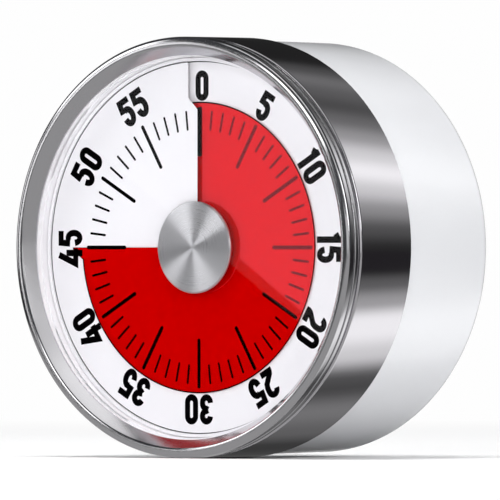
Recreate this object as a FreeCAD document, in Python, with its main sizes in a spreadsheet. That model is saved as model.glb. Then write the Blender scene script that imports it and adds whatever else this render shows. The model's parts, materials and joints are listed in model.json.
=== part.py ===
import FreeCAD, Part
import math
import os
import Sketcher

# Visual countdown timer, 80 mm across, turned by its steel front ring.
#
# Every piece is drawn in one dial frame: local Z is the timer's axis and runs from the front lip towards
# the back, local Y is up to the 0 mark, and a positive turn about Z is clockwise as the user sees it.
# "depth" below is a distance behind the crest of the front lip.

doc = FreeCAD.newDocument("visual_countdown_timer")
sheet = doc.addObject("Spreadsheet::Sheet", "size")

SIZES = [
    # overall form
    ("outer_radius", 40.0, "radius of the front ring and of the side band"),
    ("case_depth", 46.0, "front lip to back face"),
    # steel front ring
    ("lip_width", 3.5, "outer edge of the ring to the edge of the round window"),
    ("lip_edge_depth", 2.3, "depth of that edge"),
    ("lip_crest_width", 1.8, "outer edge of the ring to the crest, where the bevel starts"),
    ("lip_round", 1.05, "rounding of the outer edge of the lip"),
    ("lip_inner_round", 0.6, "rounding between bevel and crest"),
    ("lip_wall", 0.35, "thickness of the lip at the window"),
    ("step_depth", 1.7, "depth of the fine step behind the lip"),
    ("step_width", 0.5, "width of the fine step"),
    ("step_cut", 0.3, "how far the step is cut in"),
    ("bead_width", 1.0, "width of the second bead"),
    ("bead_round", 0.25, "rounding of the second bead"),
    ("groove_width", 0.8, "dark groove in front of the side band"),
    ("groove_cut", 0.6, "how far the groove is cut in"),
    ("ring_tail", 0.5, "tail of the front ring that the side band slides over"),
    # polished side band
    ("band_width", 15.9, "width of the polished side band"),
    ("band_wall", 0.9, "wall of the side band"),
    ("band_round", 0.6, "rounding of the front edge of the band"),
    ("band_hem", 0.25, "chamfer on the rear edge of the band"),
    # plastic liner that carries the lens and runs on the case collar
    ("lens_seat", 0.1, "the clear lens reaches this far under the lip"),
    ("liner_rim", 0.8, "white rim of the liner round the lens"),
    ("lens_thickness", 1.2, "thickness of the clear lens"),
    ("liner_step", 0.3, "the white wall stands this far inside the window's edge"),
    ("liner_inner_wall", 1.1, "white wall inside the moulding groove"),
    ("liner_groove_width", 0.9, "width of that groove"),
    ("liner_web", 1.6, "web in front of that groove"),
    ("liner_setback", 0.4, "liner ends this far inside the band"),
    # centre cap and hub
    ("cap_radius", 8.75, "spun aluminium centre cap"),
    ("cap_thickness", 0.9, "thickness of the cap"),
    ("cap_chamfer", 0.3, "bright chamfer round the cap"),
    ("hub_radius", 3.0, "hub that carries the red film"),
    ("hub_length", 3.6, "length of the hub"),
    ("hub_crown", 1.0, "solid front of the hub, in front of the arbor"),
    # dial and red film, both with one slit so that they pass through each other
    ("dial_depth", 5.9, "mean depth of the white dial"),
    ("dial_rise", 1.0, "rise of the white dial over one turn"),
    ("dial_edge_gap", 0.05, "white dial to the pan's rim"),
    ("dial_bore", 3.8, "hole in the white dial round the hub"),
    ("dial_sheet", 0.2, "thickness of the white dial"),
    ("dial_overlap", 10.0, "degrees by which the low end runs under the high end"),
    ("notch_offset", 2.3, "how far the high end is cut back outside the red film"),
    ("notch_reach", 1.5, "the cut back starts this far inside the red film's edge"),
    ("notch_margin", 0.9, "the cut back is complete this far outside the red film's edge"),
    ("print_width", 7.7, "ring of the dial that the red film leaves free"),
    ("film_sheet", 0.12, "thickness of the red film"),
    ("film_lift", 0.3, "free height between dial and red film"),
    ("pointer_length", 2.3, "pointer on the leading edge of the film, beyond the film's edge"),
    ("pointer_sweep", 4.8, "degrees over which the pointer slopes back to the film's edge"),
    ("pointer_nose", 0.4, "blunt width of the pointer's tip, in degrees"),
    ("film_slit", 1.0, "degrees left open between the film's two ends"),
    ("minutes_shown", 45.0, "minutes set at rest"),
    # dial pan
    ("pan_gap", 0.3, "white wall of the ring to the dial pan and the case collar"),
    ("pan_rim", 0.45, "wall of the pan's rim"),
    ("pan_floor", 1.5, "floor of the pan"),
    ("pan_rim_depth", 5.25, "depth of the rim's front edge"),
    ("pan_floor_depth", 6.8, "depth of the pan's floor"),
    ("pan_bore", 3.5, "hole in the pan for the hub"),
    ("skirt_length", 4.0, "skirt that plugs into the case collar"),
    ("skirt_wall", 1.6, "wall of that skirt"),
    ("pan_boss_radius", 2.4, "boss that takes a movement screw"),
    # white rear case
    ("case_gap", 0.4, "running gap between side band and rear case"),
    ("case_step", 0.5, "the rear case stands this far inside the side band"),
    ("case_draft", 0.3, "the rear case narrows by this towards its back"),
    ("case_wall", 1.8, "wall of the rear case"),
    ("case_round", 2.2, "rounding of the rear edge"),
    ("collar_wall", 1.8, "wall of the collar inside the ring"),
    ("ledge_width", 6.0, "width of the cover's ledge"),
    ("ledge_thickness", 3.0, "thickness of the ledge"),
    # back cover, its screws and the magnet
    ("cover_border", 8.5, "rear edge of the case to the edge of the back cover"),
    ("cover_thickness", 1.8, "thickness of the back cover"),
    ("cover_gap", 0.15, "gap round the back cover"),
    ("cover_screw_radius", 1.0, "shank of a cover screw"),
    ("cover_screw_length", 4.0, "shank length of a cover screw"),
    ("cover_head_radius", 1.9, "head of a cover screw"),
    ("cover_head_height", 0.9, "height of that head"),
    ("magnet_radius", 12.5, "disc magnet"),
    ("magnet_thickness", 3.0, "thickness of the magnet"),
    ("magnet_recess", 0.1, "magnet sits this far below the back face"),
    ("magnet_cup_wall", 1.4, "wall of the magnet's cup"),
    # movement frame
    ("plate_share", 0.7, "movement plates as a share of the front ring's radius"),
    ("plate_thickness", 1.0, "thickness of the movement plates"),
    ("front_plate_depth", 12.0, "depth of the front plate"),
    ("pillar_length", 14.0, "distance between the plates"),
    ("pillar_radius", 1.6, "pillar between the plates"),
    ("pillar_share", 0.875, "circle of pillars and screws as a share of the plates' radius"),
    ("stud_radius", 0.9, "threaded end of a pillar"),
    ("nut_radius", 2.1, "nut on a pillar, across its corners"),
    ("nut_height", 1.3, "height of that nut"),
    ("stud_overrun", 0.4, "the pillar's end stands out of its nut by this"),
    ("movement_screw_radius", 1.0, "shank of a screw into the dial pan"),
    ("movement_screw_length", 3.2, "shank length of that screw"),
    ("movement_head_radius", 1.8, "head of that screw"),
    ("movement_head_height", 0.9, "height of that head"),
    ("screw_slot", 0.6, "width of the slot in every screw head"),
    ("head_recess", 0.1, "screw heads sit this far below the back face"),
    # main arbor and spring
    ("arbor_radius", 1.5, "main arbor"),
    ("arbor_rear_depth", 31.0, "rear end of the main arbor"),
    ("arbor_drum_radius", 3.0, "drum on the arbor inside the spring"),
    ("spring_outer_radius", 12.0, "mainspring, outer turn"),
    ("spring_turns", 6.0, "turns of the mainspring"),
    ("spring_strip", 0.3, "thickness of the spring strip"),
    ("spring_width", 4.0, "width of the spring strip"),
    ("spring_rear_gap", 1.0, "gap between spring and rear plate"),
    ("spring_drum_gap", 0.3, "drum to the innermost turn"),
    ("anchor_pin_radius", 1.0, "pin that holds the outer end of the spring"),
    # train
    ("pressure_angle", 25.0, "pressure angle of all teeth"),
    ("wheel_thickness", 0.8, "thickness of a wheel"),
    ("wheel_web", 1.6, "metal left round a wheel's windows"),
    ("pinion_length", 2.0, "length of a pinion's leaves"),
    ("end_shake", 0.2, "end play of every arbor between the plates"),
    ("plate_modules", 56.0, "radius of the plates in modules of the main wheel"),
    ("main_teeth", 72.0, "teeth on the main wheel"),
    ("second_leaves", 12.0, "leaves on the second pinion"),
    ("second_share", 0.8, "module of the second wheel as a share of the main wheel's"),
    ("second_teeth", 60.0, "teeth on the second wheel"),
    ("third_leaves", 10.0, "leaves on the third pinion"),
    ("third_share", 0.6, "module of the third wheel as a share of the main wheel's"),
    ("third_teeth", 60.0, "teeth on the third wheel"),
    ("escape_leaves", 10.0, "leaves on the escape pinion"),
    ("escape_teeth", 15.0, "teeth on the escape wheel"),
    ("escape_radius", 5.0, "tip radius of the escape wheel"),
    ("escape_tooth_height", 1.5, "height of its teeth"),
    ("escape_tip_angle", 2.0, "degrees by which a tooth's leading tip is raked"),
    ("escape_heel_angle", 5.0, "degrees from the foot of a tooth to the rear of its tip"),
    ("second_bearing", 240.0, "direction of the second arbor from the main arbor"),
    ("third_bearing", -10.0, "direction of the third arbor from the second"),
    ("escape_bearing", 10.0, "direction of the escape arbor from the third"),
    ("pallet_bearing", 50.0, "direction of the pallet arbor from the escape arbor"),
    ("main_wheel_depth", 14.6, "depth of the main wheel"),
    ("train_step", 3.2, "each later wheel lies this much further back"),
    ("train_arbor_radius", 0.8, "arbors of the train"),
    ("pivot_radius", 0.5, "pivots of the train in the plates"),
    ("pivot_clearance", 0.05, "radial running clearance of every pivot"),
    ("washer_radius", 5.0, "clutch washer that lets the user set the time"),
    ("washer_thickness", 0.4, "thickness of the clutch washer"),
    # escapement
    ("pallet_modules", 14.8, "escape arbor to pallet arbor in modules of the main wheel"),
    ("pallet_pin_radius", 0.35, "pins of the pallet lever"),
    ("pallet_pin_clearance", 0.45, "pins stand this far outside the escape wheel's tips"),
    ("pallet_spread", 36.0, "half angle between the pins, seen from the escape arbor"),
    ("pallet_plate", 0.7, "thickness of the pallet lever"),
    ("pallet_gap", 0.4, "pallet lever to the escape wheel"),
    ("pallet_eye", 0.8, "metal round the arbor in the pallet lever"),
    ("pallet_arm", 1.4, "width of the lever's arms"),
    ("pallet_arm_end", 0.5, "the arms run on this far past the pins"),
    ("pallet_pin_overrun", 0.3, "the pins run on this far past the escape wheel"),
    ("balance_reach", 5.6, "half length of the balance bar"),
    ("balance_width", 2.0, "width of the balance bar"),
    ("balance_thickness", 1.0, "thickness of the balance bar"),
    ("balance_lead", 0.8, "the bar lies this far in front of the second wheel"),
    ("balance_weight_radius", 1.2, "weights on the ends of the bar"),
    ("balance_weight_step", 0.5, "the weights stand out this far on both sides of the bar"),
    # bell
    ("cam_radius", 4.5, "cam that lifts the hammer"),
    ("cam_drop", 1.125, "the hammer's follower falls by this at zero"),
    ("cam_bearing", -30.0, "direction of the drop"),
    ("cam_thickness", 1.4, "thickness of the cam"),
    ("gong_radius", 17.0, "bell gong"),
    ("gong_height", 6.0, "height of the gong"),
    ("gong_wall", 0.8, "wall of the gong"),
    ("gong_shoulder", 4.0, "width of the slope between the gong's crown and its skirt"),
    ("gong_slope", 3.0, "height of that slope"),
    ("gong_foot", 1.2, "height of the screw head inside the gong"),
    ("gong_stud_radius", 1.6, "stud that carries the gong"),
    ("hammer_pivot_circle", 21.0, "hammer pivot from the main arbor"),
    ("hammer_bearing", 40.0, "direction of the hammer pivot"),
    ("hammer_head_circle", 19.4, "hammer head from the main arbor"),
    ("hammer_head_bearing", 76.0, "direction of the hammer head"),
    ("hammer_head_radius", 1.3, "hammer head"),
    ("hammer_head_length", 8.0, "length of the hammer head"),
    ("hammer_width", 2.0, "width of the hammer lever"),
    ("hammer_thickness", 0.8, "thickness of the hammer lever"),
    ("hammer_eye", 1.2, "metal round the pivot in the hammer lever"),
    ("hammer_cap_width", 0.5, "the pivot's cap reaches this far over the lever"),
    ("hammer_cap_height", 0.6, "thickness of that cap"),
    ("hammer_play", 0.2, "lever to cam plane and lever to cap"),
    ("follower_circle", 5.2, "end of the hammer's follower from the main arbor"),
]

# Places that follow from the sizes above.
PLACES = [
    ("lip_inner_radius", "outer_radius - lip_width", "edge of the round window"),
    ("lip_crest_radius", "outer_radius - lip_crest_width", "where the bevel of the lip meets its crest"),
    ("lens_radius", "lip_inner_radius + lens_seat", "outer radius of the clear lens"),
    ("liner_rim_radius", "lens_radius + liner_rim", "front rim of the liner"),
    ("liner_inner_radius", "lip_inner_radius - liner_step", "white wall seen through the window"),
    ("liner_groove_inner", "liner_inner_radius + liner_inner_wall", "inner side of the moulding groove"),
    ("pan_radius", "liner_inner_radius - pan_gap", "outer radius of the dial pan and of the case collar"),
    ("dial_radius", "pan_radius - pan_rim - dial_edge_gap", "outer radius of the white dial"),
    ("film_radius", "dial_radius - print_width", "outer radius of the red film"),
    ("pointer_radius", "film_radius + pointer_length", "tip of the pointer on the film's leading edge"),
    ("notch_inner", "film_radius - notch_reach", "radius where the cut back starts"),
    ("notch_outer", "film_radius + notch_margin", "radius where the cut back is complete"),
    ("case_front_radius", "outer_radius - case_step", "rear case beside the band"),
    ("case_rear_radius", "case_front_radius - case_draft", "rear case at its back"),
    ("cover_radius", "case_rear_radius - cover_border", "radius of the back cover"),
    ("ledge_radius", "cover_radius - ledge_width", "opening inside the cover's ledge"),
    ("cover_screw_circle", "cover_radius - ledge_width / 2", "radius on which the cover screws stand"),
    ("plate_radius", "outer_radius * plate_share", "radius of the movement plates"),
    ("pillar_circle", "plate_radius * pillar_share", "radius on which the pillars stand"),
    ("main_module", "plate_radius / plate_modules", "module of the main wheel"),
    ("second_module", "main_module * second_share", "module of the second wheel"),
    ("third_module", "main_module * third_share", "module of the third wheel"),
    ("pallet_distance", "main_module * pallet_modules", "escape arbor to pallet arbor"),
    ("pan_boss_circle", "pillar_circle", "radius on which the pan's bosses stand"),
    ("band_front", "step_depth + step_width + bead_width + groove_width", "front edge of the side band"),
    ("band_rear", "band_front + band_width", "rear edge of the side band"),
    ("ring_rear", "band_front + ring_tail", "rear end of the front ring"),
    ("band_inner_radius", "outer_radius - band_wall", "inside of the side band"),
    ("lens_front", "lip_edge_depth + lip_wall", "front face of the lens"),
    ("lens_rear", "lens_front + lens_thickness", "rear face of the lens"),
    ("cap_rear", "lens_rear + cap_thickness", "rear face of the centre cap"),
    ("hub_rear", "cap_rear + hub_length", "rear face of the hub"),
    ("dial_low", "dial_depth + dial_rise / 2", "depth of the dial just after the slit"),
    ("film_start", "dial_low - film_lift - film_sheet", "depth of the film at its set end"),
    ("pan_rear", "pan_floor_depth + pan_floor", "rear face of the pan's floor"),
    ("collar_inner_radius", "pan_radius - collar_wall", "inside of the case collar"),
    ("case_front", "band_rear + case_gap", "front shoulder of the rear case"),
    ("cover_front", "case_depth - cover_thickness", "inner face of the back cover"),
    ("ledge_front", "cover_front - ledge_thickness", "front face of the cover's ledge"),
    ("magnet_front", "case_depth - magnet_recess - magnet_thickness", "inner face of the magnet"),
    ("cup_front", "magnet_front - magnet_cup_wall", "inner face of the magnet's cup"),
    ("inner_plate_depth", "front_plate_depth + plate_thickness", "rear face of the front plate"),
    ("rear_plate_depth", "inner_plate_depth + pillar_length", "front face of the rear plate"),
    ("frame_rear", "rear_plate_depth + plate_thickness", "rear face of the rear plate"),
    ("spring_rear", "rear_plate_depth - spring_rear_gap", "rear edge of the mainspring"),
    ("main_distance", "main_module * (main_teeth + second_leaves) / 2", "main to second arbor"),
    ("second_distance", "second_module * (second_teeth + third_leaves) / 2", "second to third arbor"),
    ("third_distance", "third_module * (third_teeth + escape_leaves) / 2", "third to escape arbor"),
    ("second_x", "main_distance * cos(second_bearing)", "second arbor"),
    ("second_y", "main_distance * sin(second_bearing)", "second arbor"),
    ("third_x", "second_x + second_distance * cos(third_bearing)", "third arbor"),
    ("third_y", "second_y + second_distance * sin(third_bearing)", "third arbor"),
    ("escape_x", "third_x + third_distance * cos(escape_bearing)", "escape arbor"),
    ("escape_y", "third_y + third_distance * sin(escape_bearing)", "escape arbor"),
    ("pallet_x", "escape_x + pallet_distance * cos(pallet_bearing)", "pallet arbor"),
    ("pallet_y", "escape_y + pallet_distance * sin(pallet_bearing)", "pallet arbor"),
    ("hammer_x", "hammer_pivot_circle * cos(hammer_bearing)", "hammer pivot"),
    ("hammer_y", "hammer_pivot_circle * sin(hammer_bearing)", "hammer pivot"),
    ("second_wheel_depth", "main_wheel_depth + train_step", "depth of the second wheel"),
    ("third_wheel_depth", "second_wheel_depth + train_step", "depth of the third wheel"),
    ("escape_wheel_depth", "third_wheel_depth + train_step", "depth of the escape wheel"),
    ("pivot_hole_radius", "pivot_radius + pivot_clearance", "pivot holes in the plates"),
    ("arbor_hole_radius", "arbor_radius + pivot_clearance", "main arbor's holes in the plates"),
    ("gong_rear", "cup_front", "the gong's stud stands on the magnet's cup"),
    ("gong_crown", "gong_rear - 1", "rear face of the gong"),
    ("gong_mouth", "gong_crown - gong_height", "open side of the gong"),
    ("cam_front", "frame_rear + 0.8", "front face of the cam"),
]

THREE_SCREWS = [90.0, 210.0, 330.0]
PILLAR_BEARINGS = [0.0, 100.0, 200.0]
nodes = []


def fill_sheet():
    """Write the driving sizes as plain numbers and the places as formulas, each with its alias."""
    for row, (alias, content, note) in enumerate(SIZES + PLACES, start=1):
        text = str(content) if isinstance(content, float) else "=" + content
        sheet.set("A%d" % row, alias)
        sheet.set("B%d" % row, text)
        sheet.set("C%d" % row, note)
        sheet.setAlias("B%d" % row, alias)
    doc.recompute()


def size(alias):
    """The present value of a size in millimetres or degrees."""
    return float(sheet.get(alias))


def value(expression):
    """The present value of an expression in the sheet's aliases."""
    return float(sheet.evalExpression(expression))


def place(part):
    """Stand a piece, drawn in the dial frame, on its rim with the 0 mark on top and the lip in front."""
    part.Placement = FreeCAD.Placement(
        FreeCAD.Vector(0, 0, 0), FreeCAD.Rotation(FreeCAD.Vector(0, 1, 1), 180)
    )
    part.setExpression(".Placement.Base.y", "-size.case_depth / 2")
    part.setExpression(".Placement.Base.z", "size.outer_radius")
    nodes.append(part)


def new_body(label):
    """A body for one piece of the timer."""
    body = doc.addObject("PartDesign::Body", label)
    body.Label = label
    place(body)
    return body


def origin_feature(body, role):
    """One of the body's own origin planes or axes."""
    return [item for item in body.Origin.OriginFeatures if item.Role == role][0]


def new_sketch(body, name, role, depth=None):
    """A sketch on one of the body's origin planes, moved to a depth along the plane's normal."""
    sketch = body.newObject("Sketcher::SketchObject", name)
    sketch.AttachmentSupport = [(origin_feature(body, role), "")]
    sketch.MapMode = "FlatFace"
    if depth:
        sketch.setExpression(".AttachmentOffset.Base.z", depth)
    return sketch


def bind_point(sketch, geometry, position, number, point):
    """Tie one sketch point to a pair of expressions, measured from the sketch's origin."""
    for axis, kind, line in ((0, "DistanceX", -2), (1, "DistanceY", -1)):
        if point[axis] == "0":
            sketch.addConstraint(Sketcher.Constraint("PointOnObject", geometry, position, line))
            continue
        name = "p%d%s" % (number, "xy"[axis])
        index = sketch.addConstraint(
            Sketcher.Constraint(kind, -1, 1, geometry, position, value(point[axis]))
        )
        sketch.renameConstraint(index, name)
        sketch.setExpression("Constraints." + name, point[axis])


def add_outline(sketch, points, start=0):
    """A closed outline of straight lines through points given as pairs of expressions."""
    numbers = [FreeCAD.Vector(value(p[0]), value(p[1]), 0) for p in points]
    first = sketch.GeometryCount
    for i, corner in enumerate(numbers):
        sketch.addGeometry(Part.LineSegment(corner, numbers[(i + 1) % len(numbers)]), False)
    for i in range(len(numbers)):
        following = first + (i + 1) % len(numbers)
        sketch.addConstraint(Sketcher.Constraint("Coincident", first + i, 2, following, 1))
    for i, point in enumerate(points):
        bind_point(sketch, first + i, 1, start + i, point)


def add_circle(sketch, number, centre, radius):
    """A circle whose centre and radius follow expressions."""
    middle = FreeCAD.Vector(value(centre[0]), value(centre[1]), 0)
    circle = Part.Circle(middle, FreeCAD.Vector(0, 0, 1), value(radius))
    index = sketch.addGeometry(circle, False)
    bind_point(sketch, index, 3, number, centre)
    name = "r%d" % number
    constraint = sketch.addConstraint(Sketcher.Constraint("Radius", index, value(radius)))
    sketch.renameConstraint(constraint, name)
    sketch.setExpression("Constraints." + name, radius)


def revolve(body, name, points):
    """Turn an outline of (radius, depth) corners about the timer's axis."""
    sketch = new_sketch(body, name + "_profile", "XZ_Plane")
    add_outline(sketch, points)
    feature = body.newObject("PartDesign::Revolution", name)
    feature.Profile = sketch
    feature.ReferenceAxis = (sketch, ["V_Axis"])
    feature.Angle = 360.0
    doc.recompute()
    return feature


def pad(body, name, sketch, length):
    """Raise a sketch away from the front by an expression."""
    feature = body.newObject("PartDesign::Pad", name)
    feature.Profile = sketch
    feature.setExpression("Length", length)
    doc.recompute()
    return feature


def pocket(body, name, sketch, length):
    """Cut a sketch away from the front, towards the back, and make sure that it did cut."""
    before = body.Shape.Volume
    feature = body.newObject("PartDesign::Pocket", name)
    feature.Profile = sketch
    feature.Reversed = True
    feature.setExpression("Length", length)
    doc.recompute()
    if not body.Shape.Volume < before:
        raise RuntimeError("%s cuts nothing" % name)
    return feature


def polar_pattern(body, name, feature, count):
    """Repeat a feature evenly round the timer's axis."""
    pattern = body.newObject("PartDesign::PolarPattern", name)
    pattern.Originals = [feature]
    pattern.Axis = (origin_feature(body, "Z_Axis"), [""])
    pattern.Angle = 360.0
    pattern.Occurrences = count
    body.Tip = pattern
    doc.recompute()
    return pattern


def rim_edges(feature, rims):
    """Names of the circular edges that have the given (radius, depth) about the timer's axis."""
    wanted = [(value(radius), value(depth)) for radius, depth in rims]
    names = []
    for i, edge in enumerate(feature.Shape.Edges, start=1):
        if not isinstance(edge.Curve, Part.Circle):
            continue
        centre = edge.Curve.Center
        for radius, depth in wanted:
            near = math.hypot(centre.x, centre.y) < 1e-4 and abs(centre.z - depth) < 1e-4
            if near and abs(edge.Curve.Radius - radius) < 1e-4:
                names.append("Edge%d" % i)
    if len(names) != len(rims):
        raise RuntimeError("%s has %d of %d rims" % (feature.Label, len(names), len(rims)))
    return names


def round_rims(body, name, rims, radius):
    """Round circular edges."""
    base = body.Tip
    feature = body.newObject("PartDesign::Fillet", name)
    feature.Base = (base, rim_edges(base, rims))
    feature.setExpression("Radius", radius)
    doc.recompute()
    return feature


def chamfer_rims(body, name, rims, width):
    """Chamfer circular edges."""
    base = body.Tip
    feature = body.newObject("PartDesign::Chamfer", name)
    feature.Base = (base, rim_edges(base, rims))
    feature.setExpression("Size", width)
    doc.recompute()
    return feature


def free_piece(label, shape):
    """A piece whose outline follows a formula, such as teeth or a spiral."""
    part = doc.addObject("Part::Feature", label)
    part.Label = label
    part.Shape = shape
    place(part)
    return part


def cylinder(radius, front, rear, centre=(0.0, 0.0)):
    """A plain cylinder from one depth to another."""
    return Part.makeCylinder(radius, rear - front, FreeCAD.Vector(centre[0], centre[1], front))


def prism(points, front, thickness):
    """A flat piece with a straight-sided outline."""
    corners = [FreeCAD.Vector(x, y, front) for x, y in points]
    face = Part.Face(Part.makePolygon(corners + corners[:1]))
    return face.extrude(FreeCAD.Vector(0, 0, thickness))


def on_circle(radius, bearing, centre=(0.0, 0.0)):
    """A point at a distance and bearing from a centre."""
    turn = math.radians(bearing)
    return (centre[0] + radius * math.cos(turn), centre[1] + radius * math.sin(turn))


# Front ring, side band, liner and lens


def build_bezel_ring():
    """Steel lip with its bevel, rounded bead, fine step, second bead and groove."""
    body = new_body("bezel_ring")
    outer = "size.outer_radius"
    step_rear = "size.step_depth + size.step_width"
    bead_rear = step_rear + " + size.bead_width"
    groove = outer + " - size.groove_cut"
    revolve(body, "ring", [
        ("size.lip_inner_radius", "size.lip_edge_depth"),
        ("size.lip_crest_radius", "0"),
        (outer, "0"),
        (outer, "size.step_depth"),
        (outer + " - size.step_cut", "size.step_depth"),
        (outer + " - size.step_cut", step_rear),
        (outer, step_rear),
        (outer, bead_rear),
        (groove, bead_rear),
        (groove, "size.band_front"),
        ("size.band_inner_radius", "size.band_front"),
        ("size.band_inner_radius", "size.ring_rear"),
        ("size.liner_rim_radius", "size.ring_rear"),
        ("size.liner_rim_radius", "size.lens_front"),
        ("size.lip_inner_radius", "size.lens_front"),
    ])
    round_rims(body, "lip_edge", [(outer, "0")], "size.lip_round")
    round_rims(body, "lip_crest", [("size.lip_crest_radius", "0")], "size.lip_inner_round")
    round_rims(body, "bead_edges", [(outer, step_rear), (outer, bead_rear)], "size.bead_round")


def build_side_band():
    """Polished steel sleeve with a soft front edge and a hemmed rear edge."""
    body = new_body("side_band")
    revolve(body, "band", [
        ("size.outer_radius", "size.band_front"),
        ("size.outer_radius", "size.band_rear"),
        ("size.band_inner_radius", "size.band_rear"),
        ("size.band_inner_radius", "size.band_front"),
    ])
    round_rims(body, "front_edge", [("size.outer_radius", "size.band_front")], "size.band_round")
    chamfer_rims(body, "rear_edge", [("size.outer_radius", "size.band_rear")], "size.band_hem")


def build_ring_liner():
    """White moulding inside the band: rim and seat of the lens in front, open groove behind."""
    body = new_body("ring_liner")
    groove_outer = "size.liner_groove_inner + size.liner_groove_width"
    rear = "size.band_rear - size.liner_setback"
    web = "size.ring_rear + size.liner_web"
    revolve(body, "liner", [
        ("size.liner_inner_radius", "size.lens_rear"),
        ("size.lens_radius", "size.lens_rear"),
        ("size.lens_radius", "size.lens_front"),
        ("size.liner_rim_radius", "size.lens_front"),
        ("size.liner_rim_radius", "size.ring_rear"),
        ("size.band_inner_radius", "size.ring_rear"),
        ("size.band_inner_radius", rear),
        (groove_outer, rear),
        (groove_outer, web),
        ("size.liner_groove_inner", web),
        ("size.liner_groove_inner", rear),
        ("size.liner_inner_radius", rear),
    ])


def build_lens():
    """Flat clear lens under the lip."""
    body = new_body("lens")
    sketch = new_sketch(body, "lens_outline", "XY_Plane", "size.lens_front")
    add_circle(sketch, 0, ("0", "0"), "size.lens_radius")
    pad(body, "disc", sketch, "size.lens_thickness")


def build_centre_cap():
    """Spun aluminium cap, bonded to the back of the lens."""
    body = new_body("centre_cap")
    sketch = new_sketch(body, "cap_outline", "XY_Plane", "size.lens_rear")
    add_circle(sketch, 0, ("0", "0"), "size.cap_radius")
    pad(body, "disc", sketch, "size.cap_thickness")
    chamfer_rims(body, "edge", [("size.cap_radius", "size.lens_rear")], "size.cap_chamfer")


def build_disc_hub():
    """Hub between cap and arbor; the red film is fixed round it."""
    body = new_body("disc_hub")
    revolve(body, "hub", [
        ("0", "size.cap_rear"),
        ("size.hub_radius", "size.cap_rear"),
        ("size.hub_radius", "size.hub_rear"),
        ("size.arbor_radius", "size.hub_rear"),
        ("size.arbor_radius", "size.cap_rear + size.hub_crown"),
        ("0", "size.cap_rear + size.hub_crown"),
    ])


# Dial, red film and pan


def build_spiral_sheet(body, name, bearing, bore, radius, sheet_size, front, turns):
    """A thin sheet that comes forward by one rise over a full turn clockwise."""
    profile = new_sketch(body, name + "_section", "XZ_Plane")
    profile.AttachmentOffset = FreeCAD.Placement(
        FreeCAD.Vector(0, 0, 0), FreeCAD.Rotation(FreeCAD.Vector(0, 1, 0), 1)
    )
    profile.setExpression(".AttachmentOffset.Rotation.Angle", bearing)
    add_outline(profile, [
        (bore, front),
        (radius, front),
        (radius, front + " + " + sheet_size),
        (bore, front + " + " + sheet_size),
    ])
    feature = body.newObject("PartDesign::AdditiveHelix", name)
    feature.Profile = profile
    feature.ReferenceAxis = (origin_feature(body, "Z_Axis"), [""])
    feature.Mode = "pitch-turns-angle"
    feature.Reversed = True
    feature.LeftHanded = True
    feature.setExpression("Pitch", "size.dial_rise")
    feature.setExpression("Turns", turns)
    doc.recompute()
    return feature


def build_dial_face():
    """White dial with one slit. Its low end runs on under its high end, which has the notch at 0."""
    body = new_body("dial_face")
    lead = "size.dial_overlap / 360 * size.dial_rise"
    build_spiral_sheet(
        body, "sheet", "90 - size.dial_overlap", "size.dial_bore", "size.dial_radius",
        "size.dial_sheet", "size.dial_low + " + lead, "1 + size.dial_overlap / 360",
    )
    front = "size.dial_low - size.dial_rise - 1"
    cut = new_sketch(body, "notch_outline", "XY_Plane", front)
    reach = "size.dial_radius + 1"
    add_outline(cut, [
        ("0", "size.notch_inner"),
        ("size.notch_offset", "size.notch_outer"),
        ("size.notch_offset", reach),
        ("-1", reach),
        ("-1", "size.notch_inner"),
    ])
    pocket(body, "notch", cut, "1 + size.dial_rise / 2")


def build_time_disc():
    """Red film with one slit and a pointer on its leading edge, at the minutes shown at rest."""
    body = new_body("time_disc")
    lead = "90 + 6 * size.minutes_shown"
    begin = "size.film_start + size.dial_rise * (1 - size.minutes_shown / 60 - size.film_slit / 360)"
    build_spiral_sheet(
        body, "film", lead + " + size.film_slit", "size.hub_radius", "size.pointer_radius",
        "size.film_sheet", begin, "1 - size.film_slit / 360",
    )
    front = "size.film_start - size.dial_rise - 1"
    cut = new_sketch(body, "film_outline", "XY_Plane", front)
    radii = ("size.film_radius", "size.pointer_radius", "size.pointer_radius", "size.film_radius")
    turns = ("0", "0", "size.pointer_nose", "size.pointer_sweep")
    corners = []
    for radius, turn in zip(radii, turns):
        bearing = "(%s - %s)" % (lead, turn)
        corners.append(("%s * cos%s" % (radius, bearing), "%s * sin%s" % (radius, bearing)))
    points = [FreeCAD.Vector(value(x), value(y), 0) for x, y in corners]
    for i in range(3):
        cut.addGeometry(Part.LineSegment(points[i], points[i + 1]), False)
    radius = size("film_radius")
    edge = Part.Circle(FreeCAD.Vector(0, 0, 0), FreeCAD.Vector(0, 0, 1), radius)
    ends = [math.atan2(point.y, point.x) for point in (points[0], points[3])]
    cut.addGeometry(Part.ArcOfCircle(edge, ends[0], ends[1]), False)
    for i in range(2):
        cut.addConstraint(Sketcher.Constraint("Coincident", i, 2, i + 1, 1))
    cut.addConstraint(Sketcher.Constraint("Coincident", 0, 1, 3, 1))
    cut.addConstraint(Sketcher.Constraint("Coincident", 2, 2, 3, 2))
    for i in range(3):
        bind_point(cut, i, 1, i, corners[i])
    bind_point(cut, 2, 2, 3, corners[3])
    index = cut.addConstraint(Sketcher.Constraint("Radius", 3, radius))
    cut.renameConstraint(index, "film_edge")
    cut.setExpression("Constraints.film_edge", "size.film_radius")
    add_circle(cut, 4, ("0", "0"), "size.pointer_radius + 1")
    pocket(body, "outline", cut, "2 * size.dial_rise + 2")


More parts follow.
